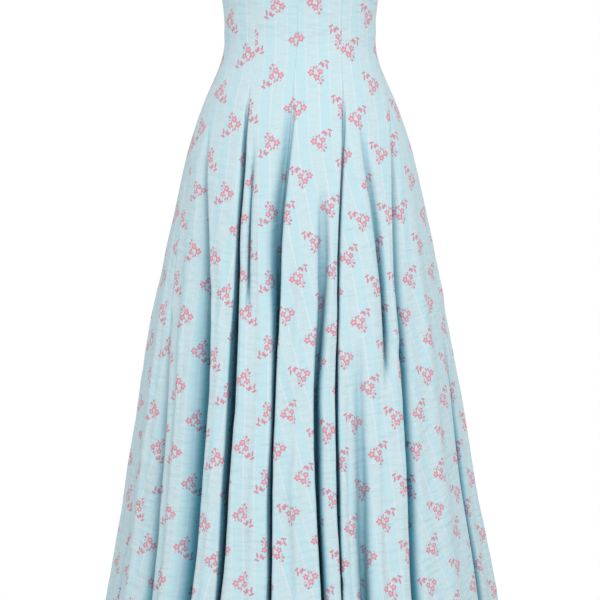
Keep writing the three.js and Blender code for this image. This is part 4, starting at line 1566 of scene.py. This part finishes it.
@dataclass(frozen=True)
class Studio:
    """Pale floor, soft light and the camera."""

    distance: float = 5.5
    view_width: float = 1.0014
    centre_z: float = -0.4306
    sensor: float = 36.0
    floor_z: float = -1.084
    floor_radius: float = 1.3
    floor_grey: float = 0.68
    floor_roughness: float = 0.7
    glow: float = 0.74
    seen_glow: float = 0.26

    def camera(self) -> None:
        """Places the camera in front of the gown."""
        data = bpy.data.cameras.new("camera")
        data.sensor_width = self.sensor
        data.lens = self.sensor * self.distance / self.view_width
        data.dof.use_dof = False
        data.clip_end = 50
        camera = add_object("camera", data)
        camera.location = (0, -self.distance, self.centre_z)
        camera.rotation_euler = (math.radians(90), 0, 0)
        bpy.context.scene.camera = camera

    def lamp(self, name: str, place: tuple, size: float, power: float) -> None:
        """Adds a soft light that faces the gown.

        Args:
            name: Its name.
            place: Where it stands, in metres.
            size: Width and height of its face.
            power: Its power in watts.
        """
        data = bpy.data.lights.new(name, "AREA")
        data.shape = "SQUARE"
        data.size = size
        data.energy = power
        lamp = add_object(name, data)
        lamp.location = place
        target = Vector((0, 0, self.centre_z))
        lamp.rotation_euler = (target - Vector(place)).to_track_quat("-Z", "Y").to_euler()

    def world(self) -> None:
        """Lights the room evenly and shows white behind the gown."""
        world = bpy.data.worlds.new("studio")
        world.use_nodes = True
        bpy.context.scene.world = world
        n = Nodes(world.node_tree)
        ground = world.node_tree.nodes["Background"]
        ground.inputs["Color"].default_value = (1, 1, 1, 1)
        seen = n.add("ShaderNodeLightPath").outputs["Is Camera Ray"]
        n.put(ground.inputs["Strength"], n.math("MULTIPLY_ADD", seen, self.seen_glow, self.glow))

    def floor(self) -> None:
        """Lays the pale floor under the hem."""
        bm = bmesh.new()
        bmesh.ops.create_circle(bm, cap_ends=True, segments=96, radius=self.floor_radius)
        mesh = mesh_from(bm, "floor")
        mesh.transform(Matrix.Translation((0, 0, self.floor_z)))
        material, _, shader = new_material("floor")
        shader.inputs["Base Color"].default_value = (*(self.floor_grey,) * 3, 1)
        shader.inputs["Roughness"].default_value = self.floor_roughness
        mesh.materials.append(material)
        add_object("floor", mesh)

    def build(self) -> None:
        """Sets up the whole studio."""
        self.camera()
        self.world()
        self.floor()
        self.lamp("key", (1.7, -4.5, 2.3), 1.6, 100)
        self.lamp("fill", (-2.4, -4.3, 0.9), 2.0, 36)
        scene = bpy.context.scene
        scene.view_settings.view_transform = "Standard"
        scene.view_settings.look = "None"


def main() -> None:
    """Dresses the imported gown."""
    logging.basicConfig(level=logging.INFO, format="%(message)s")
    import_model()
    Studio().build()
    cotton = GownCotton().build()
    maker = ClothMaker()
    grids = [maker.grid(gore) for gore in GORES]
    for gore, grid in zip(GORES, grids):
        maker.build(gore, grid, cotton)
    Stitching(maker).build(grids, cotton)
    Zip(maker.drape).build()


if __name__ == "__main__":
    main()
